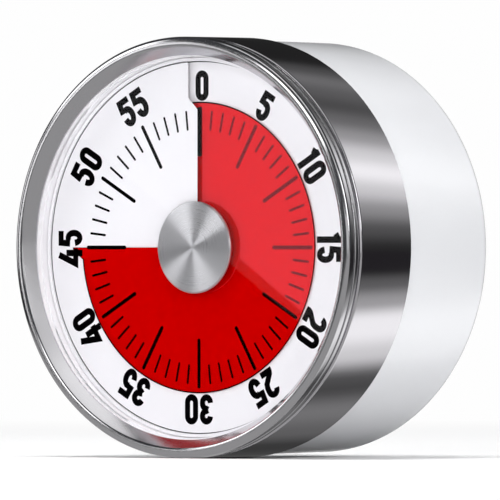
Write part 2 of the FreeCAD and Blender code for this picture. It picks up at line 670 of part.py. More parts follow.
def build_dial_pan():
    """White pan under the dial, with its rim, its skirt in the case collar and three screw bosses."""
    body = new_body("dial_pan")
    skirt_rear = "size.pan_rear + size.skirt_length"
    rim_inner = "size.pan_radius - size.pan_rim"
    revolve(body, "pan", [
        ("size.pan_bore", "size.pan_floor_depth"),
        (rim_inner, "size.pan_floor_depth"),
        (rim_inner, "size.pan_rim_depth"),
        ("size.pan_radius", "size.pan_rim_depth"),
        ("size.pan_radius", "size.pan_rear"),
        ("size.collar_inner_radius", "size.pan_rear"),
        ("size.collar_inner_radius", skirt_rear),
        ("size.collar_inner_radius - size.skirt_wall", skirt_rear),
        ("size.collar_inner_radius - size.skirt_wall", "size.pan_rear"),
        ("size.pan_bore", "size.pan_rear"),
    ])
    boss = new_sketch(body, "boss_outline", "XY_Plane", "size.pan_rear")
    add_circle(boss, 0, ("0", "size.pan_boss_circle"), "size.pan_boss_radius")
    add_circle(boss, 1, ("0", "size.pan_boss_circle"), "size.movement_screw_radius")
    feature = pad(body, "boss", boss, "size.front_plate_depth - size.pan_rear")
    polar_pattern(body, "bosses", feature, len(THREE_SCREWS))


# Rear case, back cover and magnet


def build_rear_case():
    """White shell: collar inside the ring, shoulder behind the band, drafted wall, ledge for the cover."""
    body = new_body("rear_case")
    inside_front = "size.case_front + size.case_wall"
    revolve(body, "shell", [
        ("size.collar_inner_radius", "size.pan_rear"),
        ("size.pan_radius", "size.pan_rear"),
        ("size.pan_radius", "size.case_front"),
        ("size.case_front_radius", "size.case_front"),
        ("size.case_rear_radius", "size.case_depth"),
        ("size.cover_radius", "size.case_depth"),
        ("size.cover_radius", "size.cover_front"),
        ("size.ledge_radius", "size.cover_front"),
        ("size.ledge_radius", "size.ledge_front"),
        ("size.case_rear_radius - size.case_wall", "size.ledge_front"),
        ("size.case_front_radius - size.case_wall", inside_front),
        ("size.collar_inner_radius", inside_front),
    ])
    round_rims(body, "rear_edge", [("size.case_rear_radius", "size.case_depth")], "size.case_round")
    hole = new_sketch(body, "pilot_outline", "XY_Plane", "size.ledge_front - 1")
    add_circle(hole, 0, ("0", "size.cover_screw_circle"), "size.cover_screw_radius")
    feature = pocket(body, "pilot", hole, "size.ledge_thickness + 2")
    polar_pattern(body, "pilots", feature, len(THREE_SCREWS))


def build_back_cover():
    """Round cover, flush with the back face, with the magnet's cup and sunk screw heads."""
    body = new_body("back_cover")
    edge = "size.cover_radius - size.cover_gap"
    revolve(body, "cover", [
        ("0", "size.cup_front"),
        ("size.magnet_radius + size.magnet_cup_wall", "size.cup_front"),
        ("size.magnet_radius + size.magnet_cup_wall", "size.cover_front"),
        (edge, "size.cover_front"),
        (edge, "size.case_depth"),
        ("size.magnet_radius", "size.case_depth"),
        ("size.magnet_radius", "size.magnet_front"),
        ("0", "size.magnet_front"),
    ])
    chamfer_rims(body, "edge", [(edge, "size.case_depth")], "size.cover_gap")
    hole = new_sketch(body, "hole_outline", "XY_Plane", "size.cover_front - 1")
    add_circle(hole, 0, ("0", "size.cover_screw_circle"), "size.cover_screw_radius")
    holes = pocket(body, "hole", hole, "size.cover_thickness + 2")
    polar_pattern(body, "holes", holes, len(THREE_SCREWS))
    seat = "size.case_depth - size.cover_head_height - size.head_recess"
    sink = new_sketch(body, "sink_outline", "XY_Plane", seat)
    add_circle(sink, 0, ("0", "size.cover_screw_circle"), "size.cover_head_radius + size.head_recess")
    sinks = pocket(body, "sink", sink, "size.cover_head_height + 1")
    polar_pattern(body, "sinks", sinks, len(THREE_SCREWS))


def build_magnet():
    """Disc magnet in the cover's cup, just below the back face."""
    body = new_body("magnet")
    sketch = new_sketch(body, "magnet_outline", "XY_Plane", "size.magnet_front")
    add_circle(sketch, 0, ("0", "0"), "size.magnet_radius")
    pad(body, "disc", sketch, "size.magnet_thickness")
    chamfer_rims(
        body, "edge", [("size.magnet_radius", "size.case_depth - size.magnet_recess")], "size.cap_chamfer"
    )


def screw(head, shank, centre, head_end, direction, length, slot):
    """A cheese-head screw whose shank runs from head_end along the axis, with a slot in its head."""
    radius, height = head
    low, high = sorted((head_end, head_end - direction * height))
    shape = cylinder(radius, low, high, centre)
    low, high = sorted((head_end, head_end + direction * length))
    shape = shape.fuse(cylinder(shank, low, high, centre))
    outer = head_end - direction * height
    depth = height / 2
    low = min(outer, outer + direction * depth)
    corner = FreeCAD.Vector(centre[0] - 1.5 * radius, centre[1] - slot / 2, low)
    return shape.cut(Part.makeBox(3 * radius, slot, depth, corner))


def build_cover_screws():
    """Three screws that hold the back cover to the case's ledge."""
    head = (size("cover_head_radius"), size("cover_head_height"))
    shank = size("cover_screw_radius")
    seat = size("case_depth") - size("cover_head_height") - size("head_recess")
    solids = []
    for bearing in THREE_SCREWS:
        centre = on_circle(size("cover_screw_circle"), bearing)
        solids.append(
            screw(head, shank, centre, seat, -1, size("cover_screw_length"), size("screw_slot"))
        )
    free_piece("cover_screws", Part.makeCompound(solids))


def build_movement_screws():
    """Three screws through the front plate into the dial pan's bosses."""
    head = (size("movement_head_radius"), size("movement_head_height"))
    solids = []
    for bearing in THREE_SCREWS:
        centre = on_circle(size("pan_boss_circle"), bearing)
        solids.append(
            screw(
                head, size("movement_screw_radius"), centre, size("inner_plate_depth"), -1,
                size("movement_screw_length"), size("screw_slot"),
            )
        )
    free_piece("movement_screws", Part.makeCompound(solids))


# Movement frame


def build_plate(label, depth, extra_holes):
    """A round movement plate with its pivot holes and the holes of pillars and screws."""
    body = new_body(label)
    sketch = new_sketch(body, label + "_outline", "XY_Plane", depth)
    add_circle(sketch, 0, ("0", "0"), "size.plate_radius")
    holes = [("0", "0", "size.arbor_hole_radius")]
    for name in ("second", "third", "escape", "pallet"):
        holes.append(("size.%s_x" % name, "size.%s_y" % name, "size.pivot_hole_radius"))
    for bearing in PILLAR_BEARINGS:
        holes.append((
            "size.pillar_circle * cos(%g)" % bearing,
            "size.pillar_circle * sin(%g)" % bearing,
            "size.stud_radius",
        ))
    for number, (x, y, radius) in enumerate(holes + extra_holes, start=1):
        add_circle(sketch, number, (x, y), radius)
    pad(body, "plate", sketch, "size.plate_thickness")


def build_front_plate():
    """Plate behind the dial pan, with the three screws' holes."""
    screws = []
    for bearing in THREE_SCREWS:
        screws.append((
            "size.pan_boss_circle * cos(%g)" % bearing,
            "size.pan_boss_circle * sin(%g)" % bearing,
            "size.movement_screw_radius",
        ))
    build_plate("front_plate", "size.front_plate_depth", screws)


def build_rear_plate():
    """Plate in front of the bell, with the holes of the hammer's pivot and the spring's pin."""
    pin = "(size.spring_outer_radius + size.anchor_pin_radius + size.spring_strip)"
    build_plate("rear_plate", "size.rear_plate_depth", [
        ("size.hammer_x", "size.hammer_y", "size.train_arbor_radius"),
        ("-" + pin, "0", "size.anchor_pin_radius"),
    ])


def build_pillars():
    """Three pillars with threaded ends, their nuts, and the pin of the mainspring."""
    pillars, nuts = [], []
    front, rear = size("front_plate_depth"), size("frame_rear")
    for bearing in PILLAR_BEARINGS:
        centre = on_circle(size("pillar_circle"), bearing)
        post = cylinder(size("pillar_radius"), size("inner_plate_depth"), size("rear_plate_depth"), centre)
        tip = rear + size("nut_height") + size("stud_overrun")
        stud = cylinder(size("stud_radius"), front, tip, centre)
        pillars.append(post.fuse(stud))
        corners = [on_circle(size("nut_radius"), 60 * k, centre) for k in range(6)]
        nut = prism(corners, rear, size("nut_height"))
        nuts.append(nut.cut(cylinder(size("stud_radius"), rear - 1, rear + 3, centre)))
    free_piece("plate_pillars", Part.makeCompound(pillars))
    free_piece("pillar_nuts", Part.makeCompound(nuts))
    radius = size("anchor_pin_radius")
    centre = (-size("spring_outer_radius") - radius - size("spring_strip"), 0.0)
    start = size("spring_rear") - size("spring_width")
    free_piece("spring_pin", cylinder(radius, start, size("frame_rear"), centre))


# Toothed wheels


def tooth_outline(module, teeth, addendum, dedendum, turn, centre):
    """Corners of a spur wheel with involute flanks; one tooth is centred on the bearing "turn"."""
    pressure = math.radians(size("pressure_angle"))
    pitch = module * teeth / 2
    base = pitch * math.cos(pressure)
    root, tip = pitch - dedendum * module, pitch + addendum * module
    half = math.pi / (2 * teeth) - TOOTH_SLACK * module / (2 * pitch)
    at_pitch = math.tan(pressure) - pressure
    radii = sorted({root, max(root, base), pitch, tip})
    flank = []
    for radius in radii:
        angle = math.acos(min(1.0, base / radius))
        flank.append((radius, math.degrees(half + at_pitch - (math.tan(angle) - angle))))
    corners = []
    for tooth in range(int(teeth)):
        middle = turn + 360.0 * tooth / teeth
        corners += [on_circle(radius, middle - lean, centre) for radius, lean in flank]
        corners += [on_circle(radius, middle + lean, centre) for radius, lean in reversed(flank)]
    return corners


WHEEL_ADDENDUM = 0.85
PINION_ADDENDUM = 0.9
ROOT_CLEARANCE = 0.35
TOOTH_SLACK = 0.2
WINDOWS = 5


def wheel(module, teeth, bore, front, turn, centre):
    """A stamped wheel with round windows in its web."""
    dedendum = PINION_ADDENDUM + ROOT_CLEARANCE
    outline = tooth_outline(module, teeth, WHEEL_ADDENDUM, dedendum, turn, centre)
    thickness = size("wheel_thickness")
    hub, rim = bore + size("wheel_web"), module * teeth / 2 - dedendum * module - size("wheel_web")
    middle = (rim + hub) / 2
    chord = middle * math.sin(math.pi / WINDOWS) - size("wheel_web") / 2
    radius = min((rim - hub) / 2, chord)
    holes = [cylinder(bore, front - 1, front + thickness + 1, centre)]
    for k in range(WINDOWS):
        window = on_circle(middle, turn + 360.0 * k / WINDOWS, centre)
        holes.append(cylinder(radius, front - 1, front + thickness + 1, window))
    return prism(outline, front, thickness).cut(holes)


def pinion_arbor(module, leaves, leaf_front, turn, centre):
    """A pinion cut from its own arbor, with a pivot at each end."""
    dedendum = WHEEL_ADDENDUM + ROOT_CLEARANCE
    outline = tooth_outline(module, leaves, PINION_ADDENDUM, dedendum, turn, centre)
    leaf_rear = leaf_front + size("pinion_length")
    shape = prism(outline, leaf_front, size("pinion_length"))
    arbor, pivot = size("train_arbor_radius"), size("pivot_radius")
    inner_front = size("inner_plate_depth") + size("end_shake")
    inner_rear = size("rear_plate_depth") - size("end_shake")
    for radius, front, rear in (
        (arbor, inner_front, leaf_front),
        (arbor, leaf_rear, inner_rear),
        (pivot, size("front_plate_depth"), inner_front),
        (pivot, inner_rear, size("frame_rear")),
    ):
        shape = shape.fuse(cylinder(radius, front, rear, centre))
    return shape


def bearing_of(start, end):
    """Direction from one centre to another, in degrees."""
    return math.degrees(math.atan2(end[1] - start[1], end[0] - start[0]))


def mesh_turn(start, end, teeth):
    """Turn of a driven pinion so that one of its spaces faces the driver's centre."""
    return bearing_of(end, start) + 180.0 / teeth


def centre_of(name):
    """Centre of one of the train's arbors."""
    return (size(name + "_x"), size(name + "_y"))


def build_train():
    """Main wheel, three pinions on their arbors and the two wheels that sit on them."""
    centres = [(0.0, 0.0)] + [centre_of(name) for name in ("second", "third", "escape")]
    modules = [size(name + "_module") for name in ("main", "second", "third")]
    teeth = [size(name + "_teeth") for name in ("main", "second", "third")]
    leaves = [size(name + "_leaves") for name in ("second", "third", "escape")]
    depths = [size(name + "_wheel_depth") for name in ("main", "second", "third")]
    bores = [size("arbor_radius")] + [size("train_arbor_radius")] * 2
    names = ["main_wheel", "second_wheel", "third_wheel"]
    pinions = ["second_pinion", "third_pinion", "escape_pinion"]
    overhang = (size("pinion_length") - size("wheel_thickness")) / 2
    for i in range(3):
        here, there = centres[i], centres[i + 1]
        toothed = wheel(modules[i], teeth[i], bores[i], depths[i], bearing_of(here, there), here)
        free_piece(names[i], toothed)
        turn = mesh_turn(here, there, leaves[i])
        shape = pinion_arbor(modules[i], leaves[i], depths[i] - overhang, turn, there)
        free_piece(pinions[i], shape)


# Main arbor, clutch washer and mainspring


def build_main_arbor():
    """Turned arbor from the hub to the cam, with the drum inside the spring."""
    body = new_body("main_arbor")
    drum_front = "size.spring_rear - size.spring_width"
    revolve(body, "arbor", [
        ("0", "size.cap_rear + size.hub_crown"),
        ("size.arbor_radius", "size.cap_rear + size.hub_crown"),
        ("size.arbor_radius", drum_front),
        ("size.arbor_drum_radius", drum_front),
        ("size.arbor_drum_radius", "size.spring_rear"),
        ("size.arbor_radius", "size.spring_rear"),
        ("size.arbor_radius", "size.arbor_rear_depth"),
        ("0", "size.arbor_rear_depth"),
    ])


def build_clutch_washer():
    """Dished washer that presses the main wheel, so that the user can turn the dial against the train."""
    body = new_body("clutch_washer")
    wheel_rear = "size.main_wheel_depth + size.wheel_thickness"
    dish = "size.washer_thickness"
    revolve(body, "washer", [
        ("size.washer_radius", wheel_rear),
        ("size.washer_radius", wheel_rear + " + " + dish),
        ("size.arbor_radius", wheel_rear + " + 2.5 * " + dish),
        ("size.arbor_radius", wheel_rear + " + 1.5 * " + dish),
    ])


def build_mainspring():
    """Spiral strip between the drum and its pin; the strip is straight-sided between its points."""
    strip = size("spring_strip")
    inner = size("arbor_drum_radius") + size("spring_drum_gap")
    outer = size("spring_outer_radius")
    turns = size("spring_turns")
    steps = int(16 * turns)
    inside, outside = [], []
    for k in range(steps + 1):
        share = k / steps
        bearing = 180.0 - 360.0 * turns * (1 - share)
        radius = inner + (outer - inner) * share
        inside.append(on_circle(radius, bearing))
        outside.append(on_circle(radius + strip, bearing))
    front = size("spring_rear") - size("spring_width")
    free_piece("mainspring", prism(inside + outside[::-1], front, size("spring_width")))


# Escapement


def build_escape_wheel():
    """Wheel with pointed teeth raked against its turn."""
    centre = centre_of("escape")
    tip = size("escape_radius")
    root = tip - size("escape_tooth_height")
    teeth = int(size("escape_teeth"))
    corners = []
    for k in range(teeth):
        start = 360.0 * k / teeth
        corners.append(on_circle(root, start, centre))
        corners.append(on_circle(tip, start + size("escape_tip_angle"), centre))
        corners.append(on_circle(tip, start + size("escape_heel_angle"), centre))
    front = size("escape_wheel_depth")
    rear = front + size("wheel_thickness")
    shape = prism(corners, front, rear - front)
    free_piece("escape_wheel", shape.cut(cylinder(size("train_arbor_radius"), front - 1, rear + 1, centre)))


def build_escapement():
    """Pallet arbor with the forked lever, its two pins and the balance bar."""
    centre = centre_of("pallet")
    escape = centre_of("escape")
    arbor, pivot = size("train_arbor_radius"), size("pivot_radius")
    inner_front = size("inner_plate_depth") + size("end_shake")
    inner_rear = size("rear_plate_depth") - size("end_shake")
    shape = cylinder(arbor, inner_front, inner_rear, centre)
    shape = shape.fuse(cylinder(pivot, size("front_plate_depth"), inner_front, centre))
    shape = shape.fuse(cylinder(pivot, inner_rear, size("frame_rear"), centre))
    free_piece("pallet_arbor", shape)

    plate = size("pallet_plate")
    front = size("escape_wheel_depth") - size("pallet_gap") - plate
    pin = size("pallet_pin_radius")
    reach = size("escape_radius") + size("pallet_pin_clearance") + pin
    towards = bearing_of(escape, centre)
    pins = [on_circle(reach, towards + side * size("pallet_spread"), escape) for side in (-1, 1)]
    lever = cylinder(arbor + size("pallet_eye"), front, front + plate, centre)
    arm, past = size("pallet_arm") / 2, size("pallet_arm_end")
    for point in pins:
        aim = math.radians(bearing_of(centre, point))
        across = (-math.sin(aim) * arm, math.cos(aim) * arm)
        beyond = (point[0] + past * math.cos(aim), point[1] + past * math.sin(aim))
        lever = lever.fuse(prism([
            (centre[0] + across[0], centre[1] + across[1]),
            (centre[0] - across[0], centre[1] - across[1]),
            (beyond[0] - across[0], beyond[1] - across[1]),
            (beyond[0] + across[0], beyond[1] + across[1]),
        ], front, plate))
    lever = lever.cut(cylinder(arbor, front - 1, front + plate + 1, centre))
    free_piece("pallet_lever", lever)
    rear = size("escape_wheel_depth") + size("wheel_thickness") + size("pallet_pin_overrun")
    free_piece("pallet_pins", Part.makeCompound([cylinder(pin, front + plate, rear, p) for p in pins]))

    along = math.radians(towards + 90)
    half = size("balance_width") / 2
    reach = size("balance_reach")
    front = size("second_wheel_depth") - size("balance_lead")
    thick, step = size("balance_thickness"), size("balance_weight_step")
    corners = []
    for u, v in ((-1, -1), (1, -1), (1, 1), (-1, 1)):
        corners.append((
            centre[0] + u * reach * math.cos(along) - v * half * math.sin(along),
            centre[1] + u * reach * math.sin(along) + v * half * math.cos(along),
        ))
    bar = prism(corners, front, thick).cut(cylinder(arbor, front - thick, front + 2 * thick, centre))
    for u in (-1, 1):
        weight = (centre[0] + u * reach * math.cos(along), centre[1] + u * reach * math.sin(along))
        radius = size("balance_weight_radius")
        bar = bar.fuse(cylinder(radius, front - step, front + thick + step, weight))
    free_piece("balance_bar", bar)


# Bell


def build_bell_cam():
    """Cam on the rear end of the main arbor, with the drop that lets the hammer fall at zero."""
    radius, drop = size("cam_radius"), size("cam_drop")
    front = size("cam_front")
    thickness = size("cam_thickness")
    corners = []
    steps = 24
    for k in range(steps + 1):
        fall = drop * (1 - k / steps)
        corners.append(on_circle(radius - fall, 360.0 * k / steps + size("cam_bearing")))
    shape = prism(corners, front, thickness)
    free_piece("bell_cam", shape.cut(cylinder(size("arbor_radius"), front - 1, front + thickness + 1)))


def build_bell_gong():
    """Domed gong, open towards the movement, on its stud and under its screw."""
    body = new_body("bell_gong")
    wall = "size.gong_wall"
    crown = "size.gong_crown"
    radius = "size.gong_radius"
    revolve(body, "dome", [
        ("size.gong_stud_radius", crown + " - " + wall),
        (radius + " - size.gong_shoulder", crown + " - " + wall),
        (radius + " - " + wall, crown + " - " + wall + " - size.gong_slope"),
        (radius + " - " + wall, "size.gong_mouth"),
        (radius, "size.gong_mouth"),
        (radius, crown + " - size.gong_slope"),
        (radius + " - size.gong_shoulder + " + wall + " / 2", crown),
        ("size.gong_stud_radius", crown),
    ])


def build_gong_stud():
    """Stud from the magnet's cup through the gong, and the screw that clamps the gong."""
    body = new_body("gong_stud")
    front = "size.gong_crown - size.gong_wall"
    revolve(body, "stud", [
        ("0", front + " - size.gong_foot"),
        ("2 * size.gong_stud_radius", front + " - size.gong_foot"),
        ("2 * size.gong_stud_radius", front),
        ("size.gong_stud_radius", front),
        ("size.gong_stud_radius", "size.gong_crown"),
        ("2 * size.gong_stud_radius", "size.gong_crown"),
        ("2 * size.gong_stud_radius", "size.cup_front"),
        ("0", "size.cup_front"),
    ])


def build_hammer():
    """Hammer lever with its follower beside the cam, its head beside the gong, and its pivot pin."""
    pivot = centre_of("hammer")
    radius = size("train_arbor_radius")
    front = size("cam_front") + size("hammer_play")
    thickness = size("hammer_thickness")
    cap_front = front + thickness + size("hammer_play")
    cap_rear = cap_front + size("hammer_cap_height")
    pin = cylinder(radius, size("rear_plate_depth"), cap_rear, pivot)
    cap = cylinder(radius + size("hammer_cap_width"), cap_front, cap_rear, pivot)
    free_piece("hammer_pin", pin.fuse(cap))
    head = on_circle(size("hammer_head_circle"), size("hammer_head_bearing"))
    follower = on_circle(size("follower_circle"), size("hammer_bearing"))
    half = size("hammer_width") / 2
    lever = cylinder(radius + size("hammer_eye"), front, front + thickness, pivot)
    for end in (head, follower):
        aim = math.radians(bearing_of(pivot, end))
        across = (-math.sin(aim) * half, math.cos(aim) * half)
        lever = lever.fuse(prism([
            (pivot[0] + across[0], pivot[1] + across[1]),
            (pivot[0] - across[0], pivot[1] - across[1]),
            (end[0] - across[0], end[1] - across[1]),
            (end[0] + across[0], end[1] + across[1]),
        ], front, thickness))
    hole = cylinder(radius + size("pivot_clearance"), front - 1, front + thickness + 1, pivot)
    free_piece("hammer_lever", lever.cut(hole))
    shape = cylinder(
        size("hammer_head_radius"), front + thickness, front + size("hammer_head_length"), head
    )
    free_piece("hammer_head", shape)


def check_pieces():
    """Stop unless every feature was made and every piece is a sound shape."""
    doc.recompute()
    for item in doc.Objects:
        if "Invalid" in item.State or "Error" in item.State:
            raise RuntimeError("%s was not made: %s" % (item.Label, item.State))
    for piece in nodes:
        if piece.Shape.isNull() or not piece.Shape.isValid() or not piece.Shape.Solids:
            raise RuntimeError("%s is not a sound solid" % piece.Label)


def export_pieces():
    """Write one file for each piece."""
    os.makedirs("parts", exist_ok=True)
    for piece in nodes:
        piece.Shape.exportStep("parts/%s.step" % piece.Label)
        print("%-16s %9.2f mm3, %d solids" % (piece.Label, piece.Shape.Volume, len(piece.Shape.Solids)))


BUILDERS = [
    build_bezel_ring, build_side_band, build_ring_liner, build_lens, build_centre_cap, build_disc_hub,
    build_dial_face, build_time_disc, build_dial_pan, build_rear_case, build_back_cover, build_magnet,
    build_cover_screws, build_movement_screws, build_front_plate, build_rear_plate, build_pillars,
    build_train, build_main_arbor, build_clutch_washer, build_mainspring, build_escape_wheel,
    build_escapement, build_bell_cam, build_bell_gong, build_gong_stud, build_hammer,
]

fill_sheet()
for build in BUILDERS:
    build()
check_pieces()
export_pieces()
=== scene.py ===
"""Visual countdown timer: finished pieces, materials, studio and camera, in metres."""

import json
import logging
import math
from dataclasses import dataclass, field
from enum import Enum
from typing import Callable, Optional, Sequence, Union

import bmesh
import bpy
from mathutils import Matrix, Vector


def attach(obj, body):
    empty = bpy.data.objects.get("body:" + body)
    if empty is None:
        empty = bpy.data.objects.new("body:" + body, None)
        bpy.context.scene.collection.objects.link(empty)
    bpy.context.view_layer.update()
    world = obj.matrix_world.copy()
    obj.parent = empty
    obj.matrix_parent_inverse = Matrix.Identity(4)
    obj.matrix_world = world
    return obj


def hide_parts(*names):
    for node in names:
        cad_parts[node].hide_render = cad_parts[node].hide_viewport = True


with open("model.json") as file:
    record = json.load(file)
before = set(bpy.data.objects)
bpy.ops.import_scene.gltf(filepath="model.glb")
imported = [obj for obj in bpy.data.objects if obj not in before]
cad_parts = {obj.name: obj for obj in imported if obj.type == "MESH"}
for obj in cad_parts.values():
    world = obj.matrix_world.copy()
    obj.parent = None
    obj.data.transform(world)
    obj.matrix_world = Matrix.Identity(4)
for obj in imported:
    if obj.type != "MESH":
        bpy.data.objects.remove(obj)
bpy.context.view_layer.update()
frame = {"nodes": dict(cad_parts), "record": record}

LOG = logging.getLogger("timer_scene")

MM = 0.001
# The timer's own places in metres: height of its axis, and half its depth.
AXIS_HEIGHT = 0.040
HALF_DEPTH = 0.023
ROUND_STEPS = 288
# Corners above this angle in degrees stay sharp.
SHARP_ABOVE = 32.0

# Depths behind the lip's crest in mm: the lens's front, and the white dial at 0 with its rise in one turn.
LENS_FRONT = 2.65
DIAL_LOW = 6.4
DIAL_RISE = 1.0
MINUTES_AT_REST = 45.0
# The dial's joint turns so many degrees on from rest.
FURTHEST_TURN = 84.0
# Outer radius in mm of the neck where the pan meets the rear case.
NECK = 35.9
# Thickness of a sheet that shows through, in mm.
SHEET = 0.005
# How far print stands out of the dial and reaches into it, in mm.
PRINT_LIFT = 0.0012
PRINT_SUNK = 0.002
WHOLE_TURN = 2 * math.pi

Piece = bpy.types.Object
Material = bpy.types.Material
Tree = bpy.types.NodeTree
Node = bpy.types.Node
Socket = bpy.types.NodeSocket
Sockets = bpy.types.bpy_prop_collection
Source = Union[float, Socket]
Work = bmesh.types.BMesh
Pair = tuple[float, float]
Profile = list[Pair]
Colour = tuple[float, float, float, float]


class Slot(Enum):
    """Material slots of the record."""

    CASE = "white_case_plastic"
    COVER = "white_cover_plastic"
    DIAL = "white_dial_sheet"
    FILM = "red_film"
    LENS = "clear_lens"
    LIP = "brushed_lip_steel"
    BAND = "polished_band_steel"
    CAP = "spun_aluminium"
    BRASS = "brass"
    MAGNET = "magnet_nickel"
    SCREW = "screw_steel"
    PLATE = "plate_steel"
    ARBOR = "arbor_steel"
    CAM = "cam_plastic"
    SPRING = "spring_steel"
    GONG = "gong_steel"


class Body(Enum):
    """Bodies that the finished pieces ride on."""

    CASE = "case"
    RING = "dial_ring"


# Colour, nodes and meshes


def linear(code: str) -> Colour:
    """Turn an sRGB hex code into a linear colour.

    Args:
        code: six hex digits.

    Returns:
        Linear red, green and blue, and 1 for opaque.
    """
    parts = []
    for start in (0, 2, 4):
        part = int(code[start:start + 2], 16) / 255
        parts.append(part / 12.92 if part <= 0.04045 else ((part + 0.055) / 1.055) ** 2.4)
    return parts[0], parts[1], parts[2], 1.0


def add_node(tree: Tree, kind: str, inputs: Optional[dict] = None, **settings) -> Node:
    """Add a node with its settings, constants and incoming links.

    Args:
        tree: node tree to add to.
        kind: node type.
        inputs: socket name or index to a constant, or to the socket that feeds it.
        **settings: attributes of the node.

    Returns:
        The new node.
    """
    node = tree.nodes.new(kind)
    for name, setting in settings.items():
        setattr(node, name, setting)
    for name, source in (inputs or {}).items():
        if isinstance(source, Socket):
            tree.links.new(source, node.inputs[name])
        else:
            node.inputs[name].default_value = source
    return node


def calculate(tree: Tree, operation: str, *values: Source, clamp: bool = False) -> Socket:
    """Add a maths node on constants or sockets and return its result, kept within 0 to 1 by clamp."""
    node = add_node(tree, "ShaderNodeMath", dict(enumerate(values)), operation=operation, use_clamp=clamp)
    return node.outputs[0]


def mix_shaders(tree: Tree, share: Source, first: Node, second: Node) -> Node:
    """Add a mix of two shaders; the share is that of the second."""
    return add_node(tree, "ShaderNodeMixShader", {0: share, 1: first.outputs[0], 2: second.outputs[0]})


def new_material(name: str) -> tuple[Material, Tree]:
    """Make a material with an empty node tree.

    Args:
        name: name of the material.

    Returns:
        The material and its tree.
    """
    material = bpy.data.materials.new(name)
    material.use_nodes = True
    material.node_tree.nodes.clear()
    return material, material.node_tree


def add_object(name: str, data: bpy.types.ID) -> Piece:
    """Make an object for a mesh, lamp or camera and link it into the scene."""
    item = bpy.data.objects.new(name, data)
    bpy.context.scene.collection.objects.link(item)
    return item


def arc(centre: Pair, radii: Pair, start: float, end: float, steps: int) -> Profile:
    """Points on an ellipse arc.

    Args:
        centre: middle of the ellipse.
        radii: half width and half height.
        start: first angle in degrees, anticlockwise from the right.
        end: last angle in degrees.
        steps: number of segments.

    Returns:
        steps + 1 points.
    """
    points = []
    for i in range(steps + 1):
        angle = math.radians(start + (end - start) * i / steps)
        points.append((centre[0] + radii[0] * math.cos(angle), centre[1] + radii[1] * math.sin(angle)))
    return points


def stadium(low: float, high: float, half: float, steps: int) -> Profile:
    """Upright outline with round ends, between two heights and half its width to each side."""
    crown = arc((0, high - half), (half, half), 0, 180, steps)
    return crown + arc((0, low + half), (half, half), 180, 360, steps)


def soften(profile: Profile, rounds: dict[int, float], steps: int = 6) -> Profile:
    """Round some corners of a closed profile.

    Args:
        profile: corners of the profile.
        rounds: index of a corner to its radius; a negative radius gives a chamfer of that width.
        steps: segments in each rounding.

    Returns:
        The corners with the arcs put in.
    """
    result: Profile = []
    for i, corner in enumerate(profile):
        radius = rounds.get(i)
        if radius is None:
            result.append(corner)
            continue
        here = Vector(corner)
        before = (Vector(profile[i - 1]) - here).normalized()
        after = (Vector(profile[(i + 1) % len(profile)]) - here).normalized()
        half = before.angle(after) / 2
        if radius < 0:
            result += [tuple(here - before * radius), tuple(here - after * radius)]
            continue
        reach = radius / math.tan(half)
        centre = here + (before + after).normalized() * (radius / math.sin(half))
        first = here + before * reach - centre
        last = here + after * reach - centre
        turn = first.angle_signed(last)
        for k in range(steps + 1):
            angle = -turn * k / steps
            x = first.x * math.cos(angle) - first.y * math.sin(angle)
            y = first.x * math.sin(angle) + first.y * math.cos(angle)
            result.append((centre.x + x, centre.y + y))
    return result


def blend(levels: Sequence[Pair], place: float) -> float:
    """Smooth value at a place between (place, value) pairs that are listed in rising order."""
    for (first, low), (second, high) in zip(levels, levels[1:]):
        if first <= place <= second:
            share = (place - first) / (second - first)
            return low + (high - low) * share * share * (3 - 2 * share)
    return levels[-1][1]


def dial_point(radius: float, angle: float, depth: float) -> Vector:
    """Place a point of the dial in the scene.

    Args:
        radius: distance from the axis in mm.
        angle: degrees clockwise from 0 as the user reads the dial.
        depth: distance behind the lip's crest in mm.

    Returns:
        The point in metres.
    """
    turn = math.radians(angle)
    return Vector((
        radius * MM * math.sin(turn),
        depth * MM - HALF_DEPTH,
        AXIS_HEIGHT + radius * MM * math.cos(turn),
    ))


def dial_depth(angle: float) -> float:
    """Depth of the white dial's front surface at a clockwise angle, in mm."""
    return DIAL_LOW - DIAL_RISE * angle / 360


def finish_object(name: str, work: Work) -> Piece:
    """Turn a closed bmesh into a smooth shaded object with sharp corners.

    Args:
        name: name of the object and its mesh.
        work: the bmesh, which is freed.

    Returns:
        The linked object.
    """
    bmesh.ops.recalc_face_normals(work, faces=work.faces)
    mesh = bpy.data.meshes.new(name)
    work.to_mesh(mesh)
    work.free()
    mesh.polygons.foreach_set("use_smooth", [True] * len(mesh.polygons))
    mesh.set_sharp_from_angle(angle=math.radians(SHARP_ABOVE))
    return add_object(name, mesh)


def lathe(name: str, profile: Profile, centre: Pair = (0.0, 0.0), steps: int = 0) -> Piece:
    """Turn a closed profile round the timer's axis, or round a line parallel to it.

    Args:
        name: name of the object.
        profile: radius and depth of each corner in mm.
        centre: right and up offset of the line in mm.
        steps: segments round; 0 takes the usual number.

    Returns:
        The turned object.
    """
    steps = steps or ROUND_STEPS
    work = bmesh.new()
    shift = Vector((centre[0] * MM, 0, centre[1] * MM))
    rings = []
    for radius, depth in profile:
        count = steps if radius else 1
        ring = [work.verts.new(dial_point(radius, 360 * k / steps, depth) + shift) for k in range(count)]
        rings.append(ring * (steps // count))
    for i, ring in enumerate(rings):
        beyond = rings[(i + 1) % len(rings)]
        for k in range(steps):
            j = (k + 1) % steps
            corners = list(dict.fromkeys([ring[k], ring[j], beyond[j], beyond[k]]))
            if len(corners) > 2:
                work.faces.new(corners)
    return finish_object(name, work)


